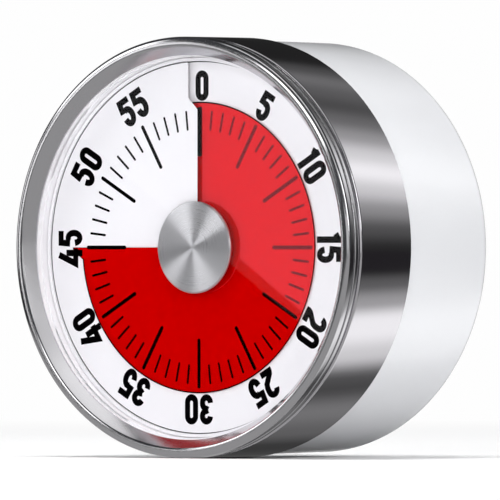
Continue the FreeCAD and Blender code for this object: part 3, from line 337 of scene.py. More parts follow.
def slab(work: Work, grid: list[list[tuple[Vector, Vector]]], closed: bool = False) -> None:
    """Add a closed slab whose front and rear sheets are given as a grid of point pairs.

    Args:
        work: bmesh to add to.
        grid: rows of (front point, rear point).
        closed: the last row joins the first.
    """
    front = [[work.verts.new(pair[0]) for pair in row] for row in grid]
    rear = [[work.verts.new(pair[1]) for pair in row] for row in grid]
    rows = len(grid)
    columns = len(grid[0])
    for i in range(rows if closed else rows - 1):
        j = (i + 1) % rows
        for k in range(columns - 1):
            work.faces.new([front[i][k], front[i][k + 1], front[j][k + 1], front[j][k]])
            work.faces.new([rear[i][k], rear[j][k], rear[j][k + 1], rear[i][k + 1]])
        for k in (0, columns - 1):
            work.faces.new([front[i][k], front[j][k], rear[j][k], rear[i][k]])
    if not closed:
        for i in (0, rows - 1):
            for k in range(columns - 1):
                work.faces.new([front[i][k], front[i][k + 1], rear[i][k + 1], rear[i][k]])


def paint(piece: Piece, base: Material, other: Material, chosen: Callable[[float, float], bool]) -> None:
    """Give a round sheet one material and some of its faces another.

    Args:
        piece: the sheet.
        base: its main material.
        other: material of the chosen faces.
        chosen: tells from a face's radius in mm and clockwise angle in degrees whether it is chosen.
    """
    piece.data.materials.append(base)
    piece.data.materials.append(other)
    for face in piece.data.polygons:
        right, up = face.center.x, face.center.z - AXIS_HEIGHT
        angle = math.degrees(math.atan2(right, up)) % 360
        face.material_index = int(chosen(math.hypot(right, up) / MM, angle))


def give(piece: Piece, material: Material, slot: Slot, body: Body, *nodes: str) -> None:
    """Give a finished piece its material and body, and hide the nodes that it stands for.

    Args:
        piece: the finished object.
        material: its material, unless it has its own already.
        slot: record slot of the piece; not used.
        body: body that it rides on.
        *nodes: nodes that it replaces.
    """
    if not piece.data.materials:
        piece.data.materials.append(material)
    if nodes:
        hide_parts(*nodes)
    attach(piece, body.value)


def bake(holder: Piece, *sources: Piece) -> Piece:
    """Turn an object's modifiers into a plain mesh and drop the objects they used.

    Args:
        holder: object with modifiers.
        *sources: helper objects to remove.

    Returns:
        The holder with its new mesh and no modifiers.
    """
    bpy.context.view_layer.update()
    graph = bpy.context.evaluated_depsgraph_get()
    mesh = bpy.data.meshes.new_from_object(holder.evaluated_get(graph), depsgraph=graph)
    mesh.name = holder.name
    mesh.set_sharp_from_angle(angle=math.radians(SHARP_ABOVE))
    holder.modifiers.clear()
    holder.data = mesh
    for source in sources:
        bpy.data.objects.remove(source)
    return holder


def carve(piece: Piece, *cutters: Piece) -> Piece:
    """Cut shapes out of a piece.

    Args:
        piece: the piece.
        *cutters: shapes to cut away, which are removed.

    Returns:
        The piece as a plain mesh.
    """
    for cutter in cutters:
        modifier = piece.modifiers.new(cutter.name, "BOOLEAN")
        modifier.object = cutter
        modifier.operation = "DIFFERENCE"
        modifier.solver = "EXACT"
    return bake(piece, *cutters)


def new_group(name: str, inputs: Sequence[tuple[str, str, Optional[float]]]) -> tuple[Tree, Sockets]:
    """Start a geometry node group.

    Args:
        name: name of the group.
        inputs: (name, kind of socket, default) of each input.

    Returns:
        The group and the sockets of its inputs.
    """
    tree = bpy.data.node_groups.new(name, "GeometryNodeTree")
    tree.interface.new_socket("Geometry", in_out="INPUT", socket_type="NodeSocketGeometry")
    for title, kind, default in inputs:
        socket = tree.interface.new_socket(title, in_out="INPUT", socket_type="NodeSocket" + kind)
        if default is not None:
            socket.default_value = default
    tree.interface.new_socket("Geometry", in_out="OUTPUT", socket_type="NodeSocketGeometry")
    return tree, add_node(tree, "NodeGroupInput").outputs


def even_turns(tree: Tree, count: Socket) -> Socket:
    """Angle in radians of each of so many points spread evenly over a turn."""
    index = add_node(tree, "GeometryNodeInputIndex")
    return calculate(tree, "MULTIPLY", calculate(tree, "DIVIDE", index.outputs[0], count), WHOLE_TURN)


def close_group(tree: Tree, geometry: Node, material: Material) -> None:
    """End a node group with real geometry in its material.

    Args:
        tree: the group.
        geometry: node with the result.
        material: material of the result.
    """
    real = add_node(tree, "GeometryNodeRealizeInstances", {0: geometry.outputs[0]})
    dressed = add_node(tree, "GeometryNodeSetMaterial", {0: real.outputs[0], "Material": material})
    add_node(tree, "NodeGroupOutput", {0: dressed.outputs[0]})


def run_group(name: str, tree: Tree, sources: dict[str, Piece]) -> Piece:
    """Run a node group once and keep its result as a plain mesh.

    Args:
        name: name of the object.
        tree: the group.
        sources: input name to the object it takes; these objects are removed.

    Returns:
        The finished object.
    """
    holder = finish_object(name, bmesh.new())
    modifier = holder.modifiers.new("repeat", "NODES")
    modifier.node_group = tree
    for item in tree.interface.items_tree:
        if item.in_out == "INPUT" and item.name in sources:
            modifier[item.identifier] = sources[item.name]
    return bake(holder, *sources.values())


# Materials


@dataclass(frozen=True)
class Finish:
    """A plain finish: colour, shine and a fine surface relief in real size."""

    name: str
    colour: str
    roughness: float
    metallic: float = 0.0
    relief: float = 0.0
    grain_mm: float = 0.5
    coat: float = 0.0
    specular: float = 0.5

    def build(self) -> Material:
        """Build the material.

        Returns:
            The new material.
        """
        material, tree = new_material(self.name)
        coords = add_node(tree, "ShaderNodeTexCoord")
        noise = add_node(tree, "ShaderNodeTexNoise", {
            "Vector": coords.outputs["Object"],
            "Scale": 1 / (self.grain_mm * MM),
            "Detail": 3.0,
        })
        rough = add_node(tree, "ShaderNodeMapRange", {
            "Value": noise.outputs["Fac"],
            "To Min": self.roughness * 0.85,
            "To Max": self.roughness * 1.15,
        })
        shader = add_node(tree, "ShaderNodeBsdfPrincipled", {
            "Base Color": linear(self.colour),
            "Metallic": self.metallic,
            "Roughness": rough.outputs["Result"],
            "Specular IOR Level": self.specular,
            "Coat Weight": self.coat,
            "Coat Roughness": 0.05,
        })
        if self.relief:
            bump = add_node(tree, "ShaderNodeBump", {
                "Height": noise.outputs["Fac"],
                "Strength": self.relief,
                "Distance": 0.00002,
            })
            tree.links.new(bump.outputs["Normal"], shader.inputs["Normal"])
        add_node(tree, "ShaderNodeOutputMaterial", {"Surface": shader.outputs["BSDF"]})
        return material


PLAIN_FINISHES = {
    # Bright glossy moulding with the faint orange peel of a polished tool.
    Slot.CASE: Finish("white_abs_gloss_moulded", "F1F2F5", 0.16, relief=0.06, grain_mm=2.5, coat=0.3),
    # Fine spark-eroded texture that scatters the light.
    Slot.COVER: Finish("white_abs_fine_texture", "ECEDEF", 0.5, relief=0.5, grain_mm=0.25),
    # Smooth white sheet with a soft sheen.
    Slot.DIAL: Finish("white_sheet_smooth_printed", "F6F5F6", 0.45, grain_mm=0.4),
    # Warm stamped brass with a drawn surface.
    Slot.BRASS: Finish("brass_stamped_satin", "D8B266", 0.28, metallic=1.0, relief=0.2, grain_mm=0.2),
    # Bright nickel with the soft grain of a plated magnet.
    Slot.MAGNET: Finish("nickel_plated_magnet", "C9C7C2", 0.2, metallic=1.0, relief=0.3, grain_mm=0.6),
    # Zinc-plated steel, slightly dull.
    Slot.SCREW: Finish("steel_zinc_screw", "C4C5C8", 0.32, metallic=1.0, relief=0.2, grain_mm=0.15),
    # Zinc-plated sheet with a cloudy surface.
    Slot.PLATE: Finish("steel_zinc_sheet", "BDBEBE", 0.38, metallic=1.0, relief=0.2, grain_mm=0.8),
    # Turned bright steel.
    Slot.ARBOR: Finish("steel_turned_bright", "B4B4B4", 0.22, metallic=1.0, grain_mm=0.1),
    # Creamy natural acetal.
    Slot.CAM: Finish("acetal_natural", "E6E0D2", 0.4, relief=0.1, grain_mm=0.3),
    # Blue-black tempered spring steel.
    Slot.SPRING: Finish("spring_steel_blued", "3C4152", 0.25, metallic=1.0, grain_mm=0.2),
    # Pressed and nickelled bell steel.
    Slot.GONG: Finish("bell_steel_nickelled", "CFCDC8", 0.15, metallic=1.0, grain_mm=1.0),
}


# Size in mm of the clouds that make turned metal a little uneven.
CLOUD_SIZE = 9


def turned_metal(name: str, colour: str, roughness: float, anisotropic: float, lines_mm: float,
                 relief: float, along_axis: bool) -> Material:
    """Metal with fine lines that run round the axis.

    Args:
        name: name of the material.
        colour: sRGB hex colour.
        roughness: mean roughness.
        anisotropic: how much the highlight is stretched.
        lines_mm: mean spacing of the lines in mm.
        relief: strength of the lines.
        along_axis: the lines follow each other along the axis, instead of outwards from it.

    Returns:
        The new material.
    """
    material, tree = new_material(name)
    place = add_node(tree, "ShaderNodeTexCoord").outputs["Object"]
    axes = add_node(tree, "ShaderNodeSeparateXYZ", {0: place})
    if along_axis:
        track = axes.outputs["Y"]
        tangent = (0.0, 1.0, 0.0)
    else:
        up = calculate(tree, "SUBTRACT", axes.outputs["Z"], AXIS_HEIGHT)
        arm = add_node(tree, "ShaderNodeCombineXYZ", {"X": axes.outputs["X"], "Z": up}).outputs[0]
        track = add_node(tree, "ShaderNodeVectorMath", {0: arm}, operation="LENGTH").outputs["Value"]
        outwards = add_node(tree, "ShaderNodeVectorTransform", {0: arm},
                            vector_type="VECTOR", convert_from="OBJECT", convert_to="WORLD")
        unit = add_node(tree, "ShaderNodeVectorMath", {0: outwards.outputs[0]}, operation="NORMALIZE")
        tangent = unit.outputs[0]
    noise = add_node(tree, "ShaderNodeTexNoise", {
        "W": track, "Scale": 1 / (lines_mm * MM), "Detail": 4.0, "Roughness": 0.6,
    }, noise_dimensions="1D")
    cloud = add_node(tree, "ShaderNodeTexNoise", {
        "Vector": place, "Scale": 1 / (CLOUD_SIZE * MM), "Detail": 2.0,
    })
    rough = add_node(tree, "ShaderNodeMapRange", {
        "Value": calculate(tree, "ADD", noise.outputs["Fac"], cloud.outputs["Fac"]),
        "From Max": 2.0, "To Min": roughness * 0.7, "To Max": roughness * 1.3,
    })
    bump = add_node(tree, "ShaderNodeBump", {
        "Height": noise.outputs["Fac"], "Strength": relief, "Distance": 0.00001,
    })
    shader = add_node(tree, "ShaderNodeBsdfPrincipled", {
        "Base Color": linear(colour), "Metallic": 1.0, "Roughness": rough.outputs["Result"],
        "Anisotropic": anisotropic, "Normal": bump.outputs["Normal"], "Tangent": tangent,
    })
    add_node(tree, "ShaderNodeOutputMaterial", {"Surface": shader.outputs["BSDF"]})
    return material


def clear_acrylic() -> Material:
    """Clear polished acrylic: see-through, with a mirror-like sheen on its outside only.

    Returns:
        The new material.
    """
    material, tree = new_material("acrylic_clear_polished")
    clear = add_node(tree, "ShaderNodeBsdfTransparent", {"Color": linear("FEFEFF")})
    shine = add_node(tree, "ShaderNodeBsdfAnisotropic", {"Color": linear("FFFFFF"), "Roughness": 0.01})
    fresnel = add_node(tree, "ShaderNodeFresnel", {"IOR": 1.49})
    side = add_node(tree, "ShaderNodeNewGeometry")
    outside = calculate(tree, "MAXIMUM", calculate(tree, "SUBTRACT", 0.3, side.outputs["Backfacing"]), 0.0)
    share = calculate(tree, "MULTIPLY", fresnel.outputs["Fac"], outside, clamp=True)
    mix = mix_shaders(tree, share, clear, shine)
    add_node(tree, "ShaderNodeOutputMaterial", {"Surface": mix.outputs["Shader"]})
    return material


def tinted_film(name: str, pass_colour: Colour, glow: str, sheen: float) -> Material:
    """Thin coloured film: light passes tinted, and its skin shines in the same colour.

    Args:
        name: name of the material.
        pass_colour: linear share of the light that passes one face.
        glow: sRGB hex colour of the sheen.
        sheen: share of light in the sheen.

    Returns:
        The new material.
    """
    material, tree = new_material(name)
    side = add_node(tree, "ShaderNodeNewGeometry")
    share = calculate(tree, "MULTIPLY", calculate(tree, "SUBTRACT", 1.0, side.outputs["Backfacing"]), sheen)
    clear = add_node(tree, "ShaderNodeBsdfTransparent", {"Color": pass_colour})
    front = add_node(tree, "ShaderNodeVectorTransform", {0: (0.0, -1.0, 0.0)},
                     vector_type="NORMAL", convert_from="OBJECT", convert_to="WORLD")
    shine = add_node(tree, "ShaderNodeBsdfAnisotropic", {
        "Color": linear(glow), "Roughness": 0.01, "Normal": front.outputs[0],
    })
    mix = mix_shaders(tree, share, clear, shine)
    add_node(tree, "ShaderNodeOutputMaterial", {"Surface": mix.outputs["Shader"]})
    return material


# Front ring: lip, band, liner, lens and centre cap


@dataclass
class FrontRing:
    """The turning ring and all that the user sees turn with it, except the red film."""

    radius: float = 40.0
    lip_inner: float = 36.5
    lip_rear: float = 4.5
    rim_radius: float = 37.4
    band_inner: float = 39.1
    band_front: float = 4.0
    band_rear: float = 19.9
    lens_radius: float = 36.6
    lens_rear: float = 3.85
    liner_inner: float = 36.2
    cap_radius: float = 8.75
    cap_rear: float = 4.75

    def lip(self) -> Piece:
        """Lip with bevel, bead, step and groove."""
        step, groove = 39.7, 39.4
        profile = [
            (self.lip_inner, 2.3), (38.2, 0.0), (self.radius, 0.0), (self.radius, 1.7), (step, 1.7),
            (step, 2.2), (self.radius, 2.2), (self.radius, 3.2), (groove, 3.2), (groove, self.band_front),
            (self.band_inner, self.band_front), (self.band_inner, self.lip_rear),
            (self.rim_radius, self.lip_rear), (self.rim_radius, LENS_FRONT), (self.lip_inner, LENS_FRONT),
        ]
        return lathe("lip", soften(profile, {1: 0.6, 2: 1.05, 6: 0.25, 7: 0.25}))

    def band(self) -> Piece:
        """Polished side band."""
        profile = [
            (self.radius, self.band_front), (self.radius, self.band_rear),
            (self.band_inner, self.band_rear), (self.band_inner, self.band_front),
        ]
        return lathe("band", soften(profile, {0: 0.6, 1: -0.25}))

    def liner(self) -> Piece:
        """White wall inside the ring, hollow from the rear."""
        rear = self.band_rear - 0.4
        floor, outer, inner = 6.1, 38.2, 37.3
        return lathe("liner", [
            (self.liner_inner, self.lens_rear), (self.lens_radius, self.lens_rear),
            (self.lens_radius, LENS_FRONT), (self.rim_radius, LENS_FRONT), (self.rim_radius, self.lip_rear),
            (self.band_inner, self.lip_rear), (self.band_inner, rear), (outer, rear), (outer, floor),
            (inner, floor), (inner, rear), (self.liner_inner, rear),
        ])

    def lens(self) -> Piece:
        """Flat lens."""
        edge, rear = self.lens_radius, self.lens_rear
        return lathe("window", [(0, LENS_FRONT), (edge, LENS_FRONT), (edge, rear), (0, rear)])

    def cap(self) -> Piece:
        """Centre cap: a flat cone with a chamfered edge."""
        edge = self.cap_radius
        return lathe("cap", [
            (0, self.lens_rear), (edge - 0.3, 4.1), (edge, 4.4), (edge, self.cap_rear), (0, self.cap_rear),
        ])

    def build(self) -> None:
        """Build all pieces of the ring with their materials."""
        # Finely brushed steel: soft streaks that run round the lip.
        brushed = turned_metal("steel_lip_brushed", "C6C5C8", 0.15, 0.3, 0.12, 0.1, False)
        # Mirror-polished steel with faint lines round the band.
        polished = turned_metal("steel_band_mirror", "D2D0D4", 0.11, 0.3, 0.5, 0.05, True)
        # Spun aluminium: bright and dark sectors that meet in the middle.
        spun = turned_metal("aluminium_spun", "DCDCDD", 0.29, 0.95, 0.1, 0.05, False)
        give(self.lip(), brushed, Slot.LIP, Body.RING, "bezel_ring")
        give(self.band(), polished, Slot.BAND, Body.RING, "side_band")
        give(self.liner(), PLAIN_FINISHES[Slot.DIAL].build(), Slot.CASE, Body.RING, "ring_liner")
        give(self.lens(), clear_acrylic(), Slot.LENS, Body.RING, "lens")
        give(self.cap(), spun, Slot.CAP, Body.RING, "centre_cap")


# Dial: white spiral sheet, numerals, ticks and pan


# Stroke width, and half width and half height of a digit's middle line, in mm.
STROKE = 1.24
DIGIT_HALF = (0.95, 2.27)


def digit_strokes(digit: str) -> tuple[list[tuple[Profile, bool]], float]:
    """Middle lines of a digit, in mm round its centre.

    Args:
        digit: one of 0 to 5.

    Returns:
        Strokes as (points, closed), and the digit's width.
    """
    half, tall = DIGIT_HALF
    top = tall + STROKE / 2
    low = -top
    if digit == "0":
        return [(stadium(-tall, tall, half, 16), True)], 3.0
    if digit == "1":
        return [([(0.3, low), (0.3, top)], False), ([(0.3, 2.25), (-0.85, 1.55)], False)], 2.2
    if digit == "2":
        crown = arc((0, tall - half), (half, half), 178, 0, 14)
        bend = [(half, 1.2), (half, 0.5), (0.75, -0.2), (0.0, -0.95), (-0.75, -1.7), (-half, -2.2)]
        foot = [(-half, -tall), (half + 0.35, -tall)]
        return [(crown[:-1] + bend + foot, False)], 3.0
    if digit == "3":
        upper = arc((0, 1.28), (half, tall - 1.28), 178, -90, 18)
        lower = arc((0, -1.19), (half, tall - 1.19), 90, -178, 18)
        return [(upper + [(-0.4, 0.09)], False), ([(-0.4, 0.09)] + lower, False)], 3.0
    if digit == "4":
        corner = [(0.35, 2.75), (-1.3, -1.25), (1.6, -1.25)]
        return [(corner, False), ([(0.72, low), (0.72, 1.0)], False)], 3.1
    bowl = arc((0, -0.85), (half, tall - 0.85), 128, -172, 20)
    return [([(1.35, tall), (-0.9, tall), (-1.05, 0.1)], False), (bowl, False)], 3.0


def heading(first: Optional[Pair], second: Optional[Pair]) -> Optional[Vector]:
    """Direction from one point to another.

    Args:
        first: the point it starts from.
        second: the point it leads to.

    Returns:
        The unit vector, or None where a point is missing or both are the same.
    """
    if first is None or second is None:
        return None
    way = Vector(second) - Vector(first)
    return way.normalized() if way.length > 1e-6 else None


def stroke_rows(points: Profile, closed: bool) -> list[tuple[Pair, Pair]]:
    """Left and right side of a stroke at each point of its middle line.

    Args:
        points: middle line.
        closed: the line is a loop.

    Returns:
        A (left, right) pair for each point.
    """
    rows = []
    count = len(points)
    for i, point in enumerate(points):
        before = points[i - 1] if closed or i else None
        after = points[(i + 1) % count] if closed or i < count - 1 else None
        entering = heading(before, point) or heading(point, after)
        leaving = heading(point, after) or entering
        mean = (entering + leaving).normalized()
        # A mitre is cut short where the stroke bends sharply.
        side = Vector((-mean.y, mean.x)) * (STROKE / 2 / max(0.35, mean.dot(entering)))
        rows.append((tuple(Vector(point) + side), tuple(Vector(point) - side)))
    return rows


def draped(angle: float, radius: float, right: float, lift: float) -> Vector:
    """Point over the dial, from a mark's angle, the distances along and right of it, and the lift in mm."""
    turn = angle + math.degrees(math.atan2(right, radius))
    return dial_point(math.hypot(radius, right), turn, dial_depth(turn) - lift)


@dataclass
class Dial:
    """White sheet that rises once round, its print, and the pan that holds it."""

    bore: float = 3.8
    thin_edge: float = 28.2
    radius: float = 35.4
    corner: float = 0.6
    thickness: float = 0.2
    overlap: float = 10.0
    notch_inner: float = 26.2
    notch_outer: float = 28.6
    notch_offset: float = 2.3
    numeral_radius: float = 30.75
    digit_gap: float = 0.55
    zero_shift: float = 0.35
    # Width in mm of the band of painted shade along the sheet's outer edge.
    edge_line: float = 0.21

    def high_end(self, radius: float) -> float:
        """Clockwise angle at which the sheet's high end stops, in degrees."""
        share = (radius - self.notch_inner) / (self.notch_outer - self.notch_inner)
        offset = self.notch_offset * min(1.0, max(0.0, share))
        if radius > self.radius - self.corner:
            reach = radius - self.radius + self.corner
            offset += self.corner - math.sqrt(max(0.0, self.corner ** 2 - reach ** 2))
        return 360 - math.degrees(math.asin(offset / radius))

    def sheet(self, white: Material) -> Piece:
        """Spiral sheet with its slit and notch.

        Args:
            white: material of the sheet.

        Returns:
            The sheet.
        """
        radii = [self.bore + (self.notch_inner - self.bore) * i / 6 for i in range(7)]
        radii += [26.8, 27.4, 28.0, self.thin_edge, self.thin_edge + 0.01, self.notch_outer]
        radii += [30.0, 32.0, 34.0]
        radii += [self.radius - self.corner * (1 - math.sin(math.radians(15 * i))) for i in range(7)]
        grid = []
        for i in range(ROUND_STEPS + 1):
            row = []
            for radius in radii:
                angle = -self.overlap + (self.high_end(radius) + self.overlap) * i / ROUND_STEPS
                front = dial_depth(angle)
                thick = SHEET if radius <= self.thin_edge else self.thickness
                row.append((dial_point(radius, angle, front), dial_point(radius, angle, front + thick)))
            grid.append(row)
        work = bmesh.new()
        slab(work, grid)
        piece = finish_object("dial_sheet", work)
        # Painted shade: a fine dark grey line along the sheet's outer edge, where the gap to the pan's rim
        # lies in shadow.
        line = Finish("sheet_edge_line_grey", "2C2B2D", 0.6, grain_mm=0.1, specular=0.1).build()
        paint(piece, white, line, lambda radius, angle: radius > self.radius - self.edge_line)
        return piece

    def numerals(self) -> Piece:
        """Printed numerals from 0 to 55, tops outwards."""
        work = bmesh.new()
        for number in range(0, 60, 5):
            digits = [digit_strokes(letter) for letter in str(number)]
            width = sum(size for _, size in digits) + self.digit_gap * (len(digits) - 1)
            # The 0 stands a little to the right, clear of the slit.
            start = -width / 2 + (self.zero_shift if number == 0 else 0.0)
            for strokes, size in digits:
                middle = start + size / 2
                start += size + self.digit_gap
                for points, closed in strokes:
                    self.add_stroke(work, 6 * number, middle, points, closed)
        return finish_object("dial_numerals", work)

    def add_stroke(self, work: Work, angle: float, middle: float, points: Profile, closed: bool) -> None:
        """Add one printed stroke of a digit.

        Args:
            work: bmesh to add to.
            angle: clockwise angle of the numeral.
            middle: offset of the digit to the right of that angle, in mm.
            points: middle line of the stroke.
            closed: the stroke is a loop.
        """
        grid = []
        for left, right_side in stroke_rows(points, closed):
            row = []
            for share in (0, 0.5, 1):
                right = middle + left[0] + (right_side[0] - left[0]) * share
                up = self.numeral_radius + left[1] + (right_side[1] - left[1]) * share
                row.append((draped(angle, up, right, PRINT_LIFT), draped(angle, up, right, -PRINT_SUNK)))
            grid.append(row)
        slab(work, grid, closed)

    def pan(self) -> Piece:
        """Pan with its rim and skirt."""
        bore, floor, rear = 3.5, 6.8, 8.3
        rim_inner, rim_outer, rim_front = 35.45, 36.08, 5.25
        skirt_inner, skirt_outer, skirt_rear = 32.5, 34.1, 12.3
        return lathe("pan", [
            (bore, floor), (rim_inner, floor), (rim_inner, rim_front), (rim_outer, rim_front),
            (rim_outer, 7.0), (NECK, 7.2), (NECK, rear), (skirt_outer, rear), (skirt_outer, skirt_rear),
            (skirt_inner, skirt_rear), (skirt_inner, rear), (bore, rear),
        ])

    def build(self) -> None:
        """Build the dial's pieces with their materials."""
        white = PLAIN_FINISHES[Slot.DIAL].build()
        # Dense black screen print, slightly matt.
        ink = Finish("ink_black_screen_printed", "050405", 0.6, grain_mm=0.1, specular=0.0).build()
        give(self.sheet(white), white, Slot.DIAL, Body.CASE, "dial_face")
        give(self.numerals(), ink, Slot.DIAL, Body.CASE)
        give(Ticks().build(ink), ink, Slot.DIAL, Body.CASE)
        give(self.pan(), white, Slot.CASE, Body.CASE, "dial_pan")


@dataclass
class Ticks:
    """Sixty printed ticks round the dial, longer and bolder at every fifth minute."""

    minor: tuple[float, float, float] = (22.3, 26.1, 0.46)
    major: tuple[float, float, float] = (17.3, 26.8, 0.74)
    count: int = 60
    major_every: int = 5

    def bar(self, name: str, size: tuple[float, float, float]) -> Piece:
        """One round-ended bar that lies flat, 3 microns thick along Y.

        Args:
            name: name of the object.
            size: inner radius, outer radius and width in mm.

        Returns:
            The bar, pointing up along Z.
        """
        inner, outer, width = size
        outline = stadium(inner, outer, width / 2, 10)
        work = bmesh.new()
        fronts = [work.verts.new((x * MM, -PRINT_LIFT * MM, y * MM)) for x, y in outline]
        rears = [work.verts.new((x * MM, PRINT_SUNK * MM, y * MM)) for x, y in outline]
        work.faces.new(fronts)
        work.faces.new(rears[::-1])
        for i in range(len(outline)):
            j = (i + 1) % len(outline)
            work.faces.new([fronts[i], rears[i], rears[j], fronts[j]])
        return finish_object(name, work)

    def tree(self, ink: Material) -> Tree:
        """Node group that sets bars round the dial and lays them on its spiral.

        Args:
            ink: material of the ticks.

        Returns:
            The node group.
        """
        tree, given = new_group("tick_ring", (
            ("Minor Bar", "Object", None), ("Major Bar", "Object", None),
            ("Count", "Int", self.count), ("Major Every", "Int", self.major_every),
            ("Rise", "Float", DIAL_RISE * MM), ("Low Depth", "Float", DIAL_LOW * MM - HALF_DEPTH),
        ))
        points = add_node(tree, "GeometryNodePoints", {"Count": given["Count"]})
        spin = add_node(tree, "ShaderNodeCombineXYZ", {"Y": even_turns(tree, given["Count"])})
        index = add_node(tree, "GeometryNodeInputIndex")
        left = calculate(tree, "MODULO", index.outputs[0], given["Major Every"])
        major = calculate(tree, "LESS_THAN", left, 0.5)
        minor = calculate(tree, "SUBTRACT", 1.0, major)
        join = add_node(tree, "GeometryNodeJoinGeometry")
        for name, choice in (("Minor Bar", minor), ("Major Bar", major)):
            bar = add_node(tree, "GeometryNodeObjectInfo", {"Object": given[name]})
            placed = add_node(tree, "GeometryNodeInstanceOnPoints", {
                "Points": points.outputs[0], "Selection": choice,
                "Instance": bar.outputs["Geometry"], "Rotation": spin.outputs[0],
            })
            tree.links.new(placed.outputs[0], join.inputs[0])
        real = add_node(tree, "GeometryNodeRealizeInstances", {0: join.outputs[0]})
        spot = add_node(tree, "GeometryNodeInputPosition")
        axes = add_node(tree, "ShaderNodeSeparateXYZ", {0: spot.outputs[0]})
        bearing = calculate(tree, "ARCTAN2", axes.outputs["X"], axes.outputs["Z"])
        # A point well left of 0 lies at the end of the turn; the rest of the tick at 0 stays at its start.
        behind = calculate(tree, "LESS_THAN", bearing, -0.012)
        lap = calculate(tree, "MULTIPLY_ADD", behind, WHOLE_TURN, bearing)
        fall = calculate(tree, "MULTIPLY", calculate(tree, "DIVIDE", lap, WHOLE_TURN), given["Rise"])
        depth = calculate(tree, "SUBTRACT", given["Low Depth"], fall)
        offset = add_node(tree, "ShaderNodeCombineXYZ", {"Y": depth, "Z": AXIS_HEIGHT})
        laid = add_node(tree, "GeometryNodeSetPosition", {0: real.outputs[0], "Offset": offset.outputs[0]})
        close_group(tree, laid, ink)
        return tree

    def build(self, ink: Material) -> Piece:
        """Make the ring of ticks as a plain mesh.

        Args:
            ink: material of the ticks.

        Returns:
            The finished object.
        """
        return run_group("dial_ticks", self.tree(ink), {
            "Minor Bar": self.bar("tick_minor", self.minor),
            "Major Bar": self.bar("tick_major", self.major),
        })


# Red film


@dataclass
class TimeFilm:
    """Red film whose leading edge shows the minutes left."""

    bore: float = 3.0
    radius: float = 27.7
    pointer_radius: float = 30.0
    pointer_sweep: float = 4.8
    pointer_nose: float = 0.4
    slit: float = 1.0
    edge: float = 0.26
    cut: float = 0.2
    rear_cut: float = 0.3

    def outline(self, back: float) -> float:
        """Outer radius in mm at so many degrees behind the leading edge."""
        if back <= self.pointer_nose:
            return self.pointer_radius
        if back >= self.pointer_sweep:
            return self.radius
        share = (back - self.pointer_nose) / (self.pointer_sweep - self.pointer_nose)
        return self.pointer_radius + (self.radius - self.pointer_radius) * share

    def build(self) -> None:
        """Build the film, with painted shade along its cut edges."""
        leading = 6 * MINUTES_AT_REST
        # The dial rises as the film turns on, so the film stands off by that rise and half a minute's.
        lift = DIAL_RISE * FURTHEST_TURN / 360 + DIAL_RISE * 6 / 720
        LOG.info("film stands %.4f mm in front of the dial", lift)
        tail = 360 - self.slit
        backs = [0.0, self.cut, self.pointer_nose] + [self.pointer_nose + 1.1 * i for i in range(1, 4)]
        span = tail - self.rear_cut - self.pointer_sweep
        backs += [self.pointer_sweep + span * i / ROUND_STEPS for i in range(ROUND_STEPS + 1)]
        backs.append(tail)
        grid = []
        for back in backs:
            angle = leading - back
            outer = self.outline(back)
            front = dial_depth(angle) - lift
            row = []
            for radius in (self.bore, 9.0, 15.0, 21.0, outer - self.edge, outer):
                row.append((dial_point(radius, angle, front), dial_point(radius, angle, front + SHEET)))
            grid.append(row)
        work = bmesh.new()
        slab(work, grid)
        piece = finish_object("film", work)
        # Translucent red plastic film: the white dial glows through it and the print shows dark.
        red = tinted_film("film_red_translucent", (1.0, 0.03, 0.04, 1.0), "FF606E", 0.19)
        # Painted shade: the film's cut edges take a darker red, which stands in for the way light runs
        # along inside the film there.
        dark = tinted_film("film_red_cut_edge", (0.2, 0.003, 0.004, 1.0), "601010", 0.04)

        def cut_edge(radius: float, angle: float) -> bool:
            """Whether a face lies on one of the film's cut edges, where the shade is painted."""
            back = (leading - angle) % 360
            return radius > self.outline(back) - self.edge or back < self.cut or back > tail - self.rear_cut

        paint(piece, red, dark, cut_edge)
        give(piece, red, Slot.FILM, Body.RING, "time_disc")


# Rear case, cover, screws and magnet


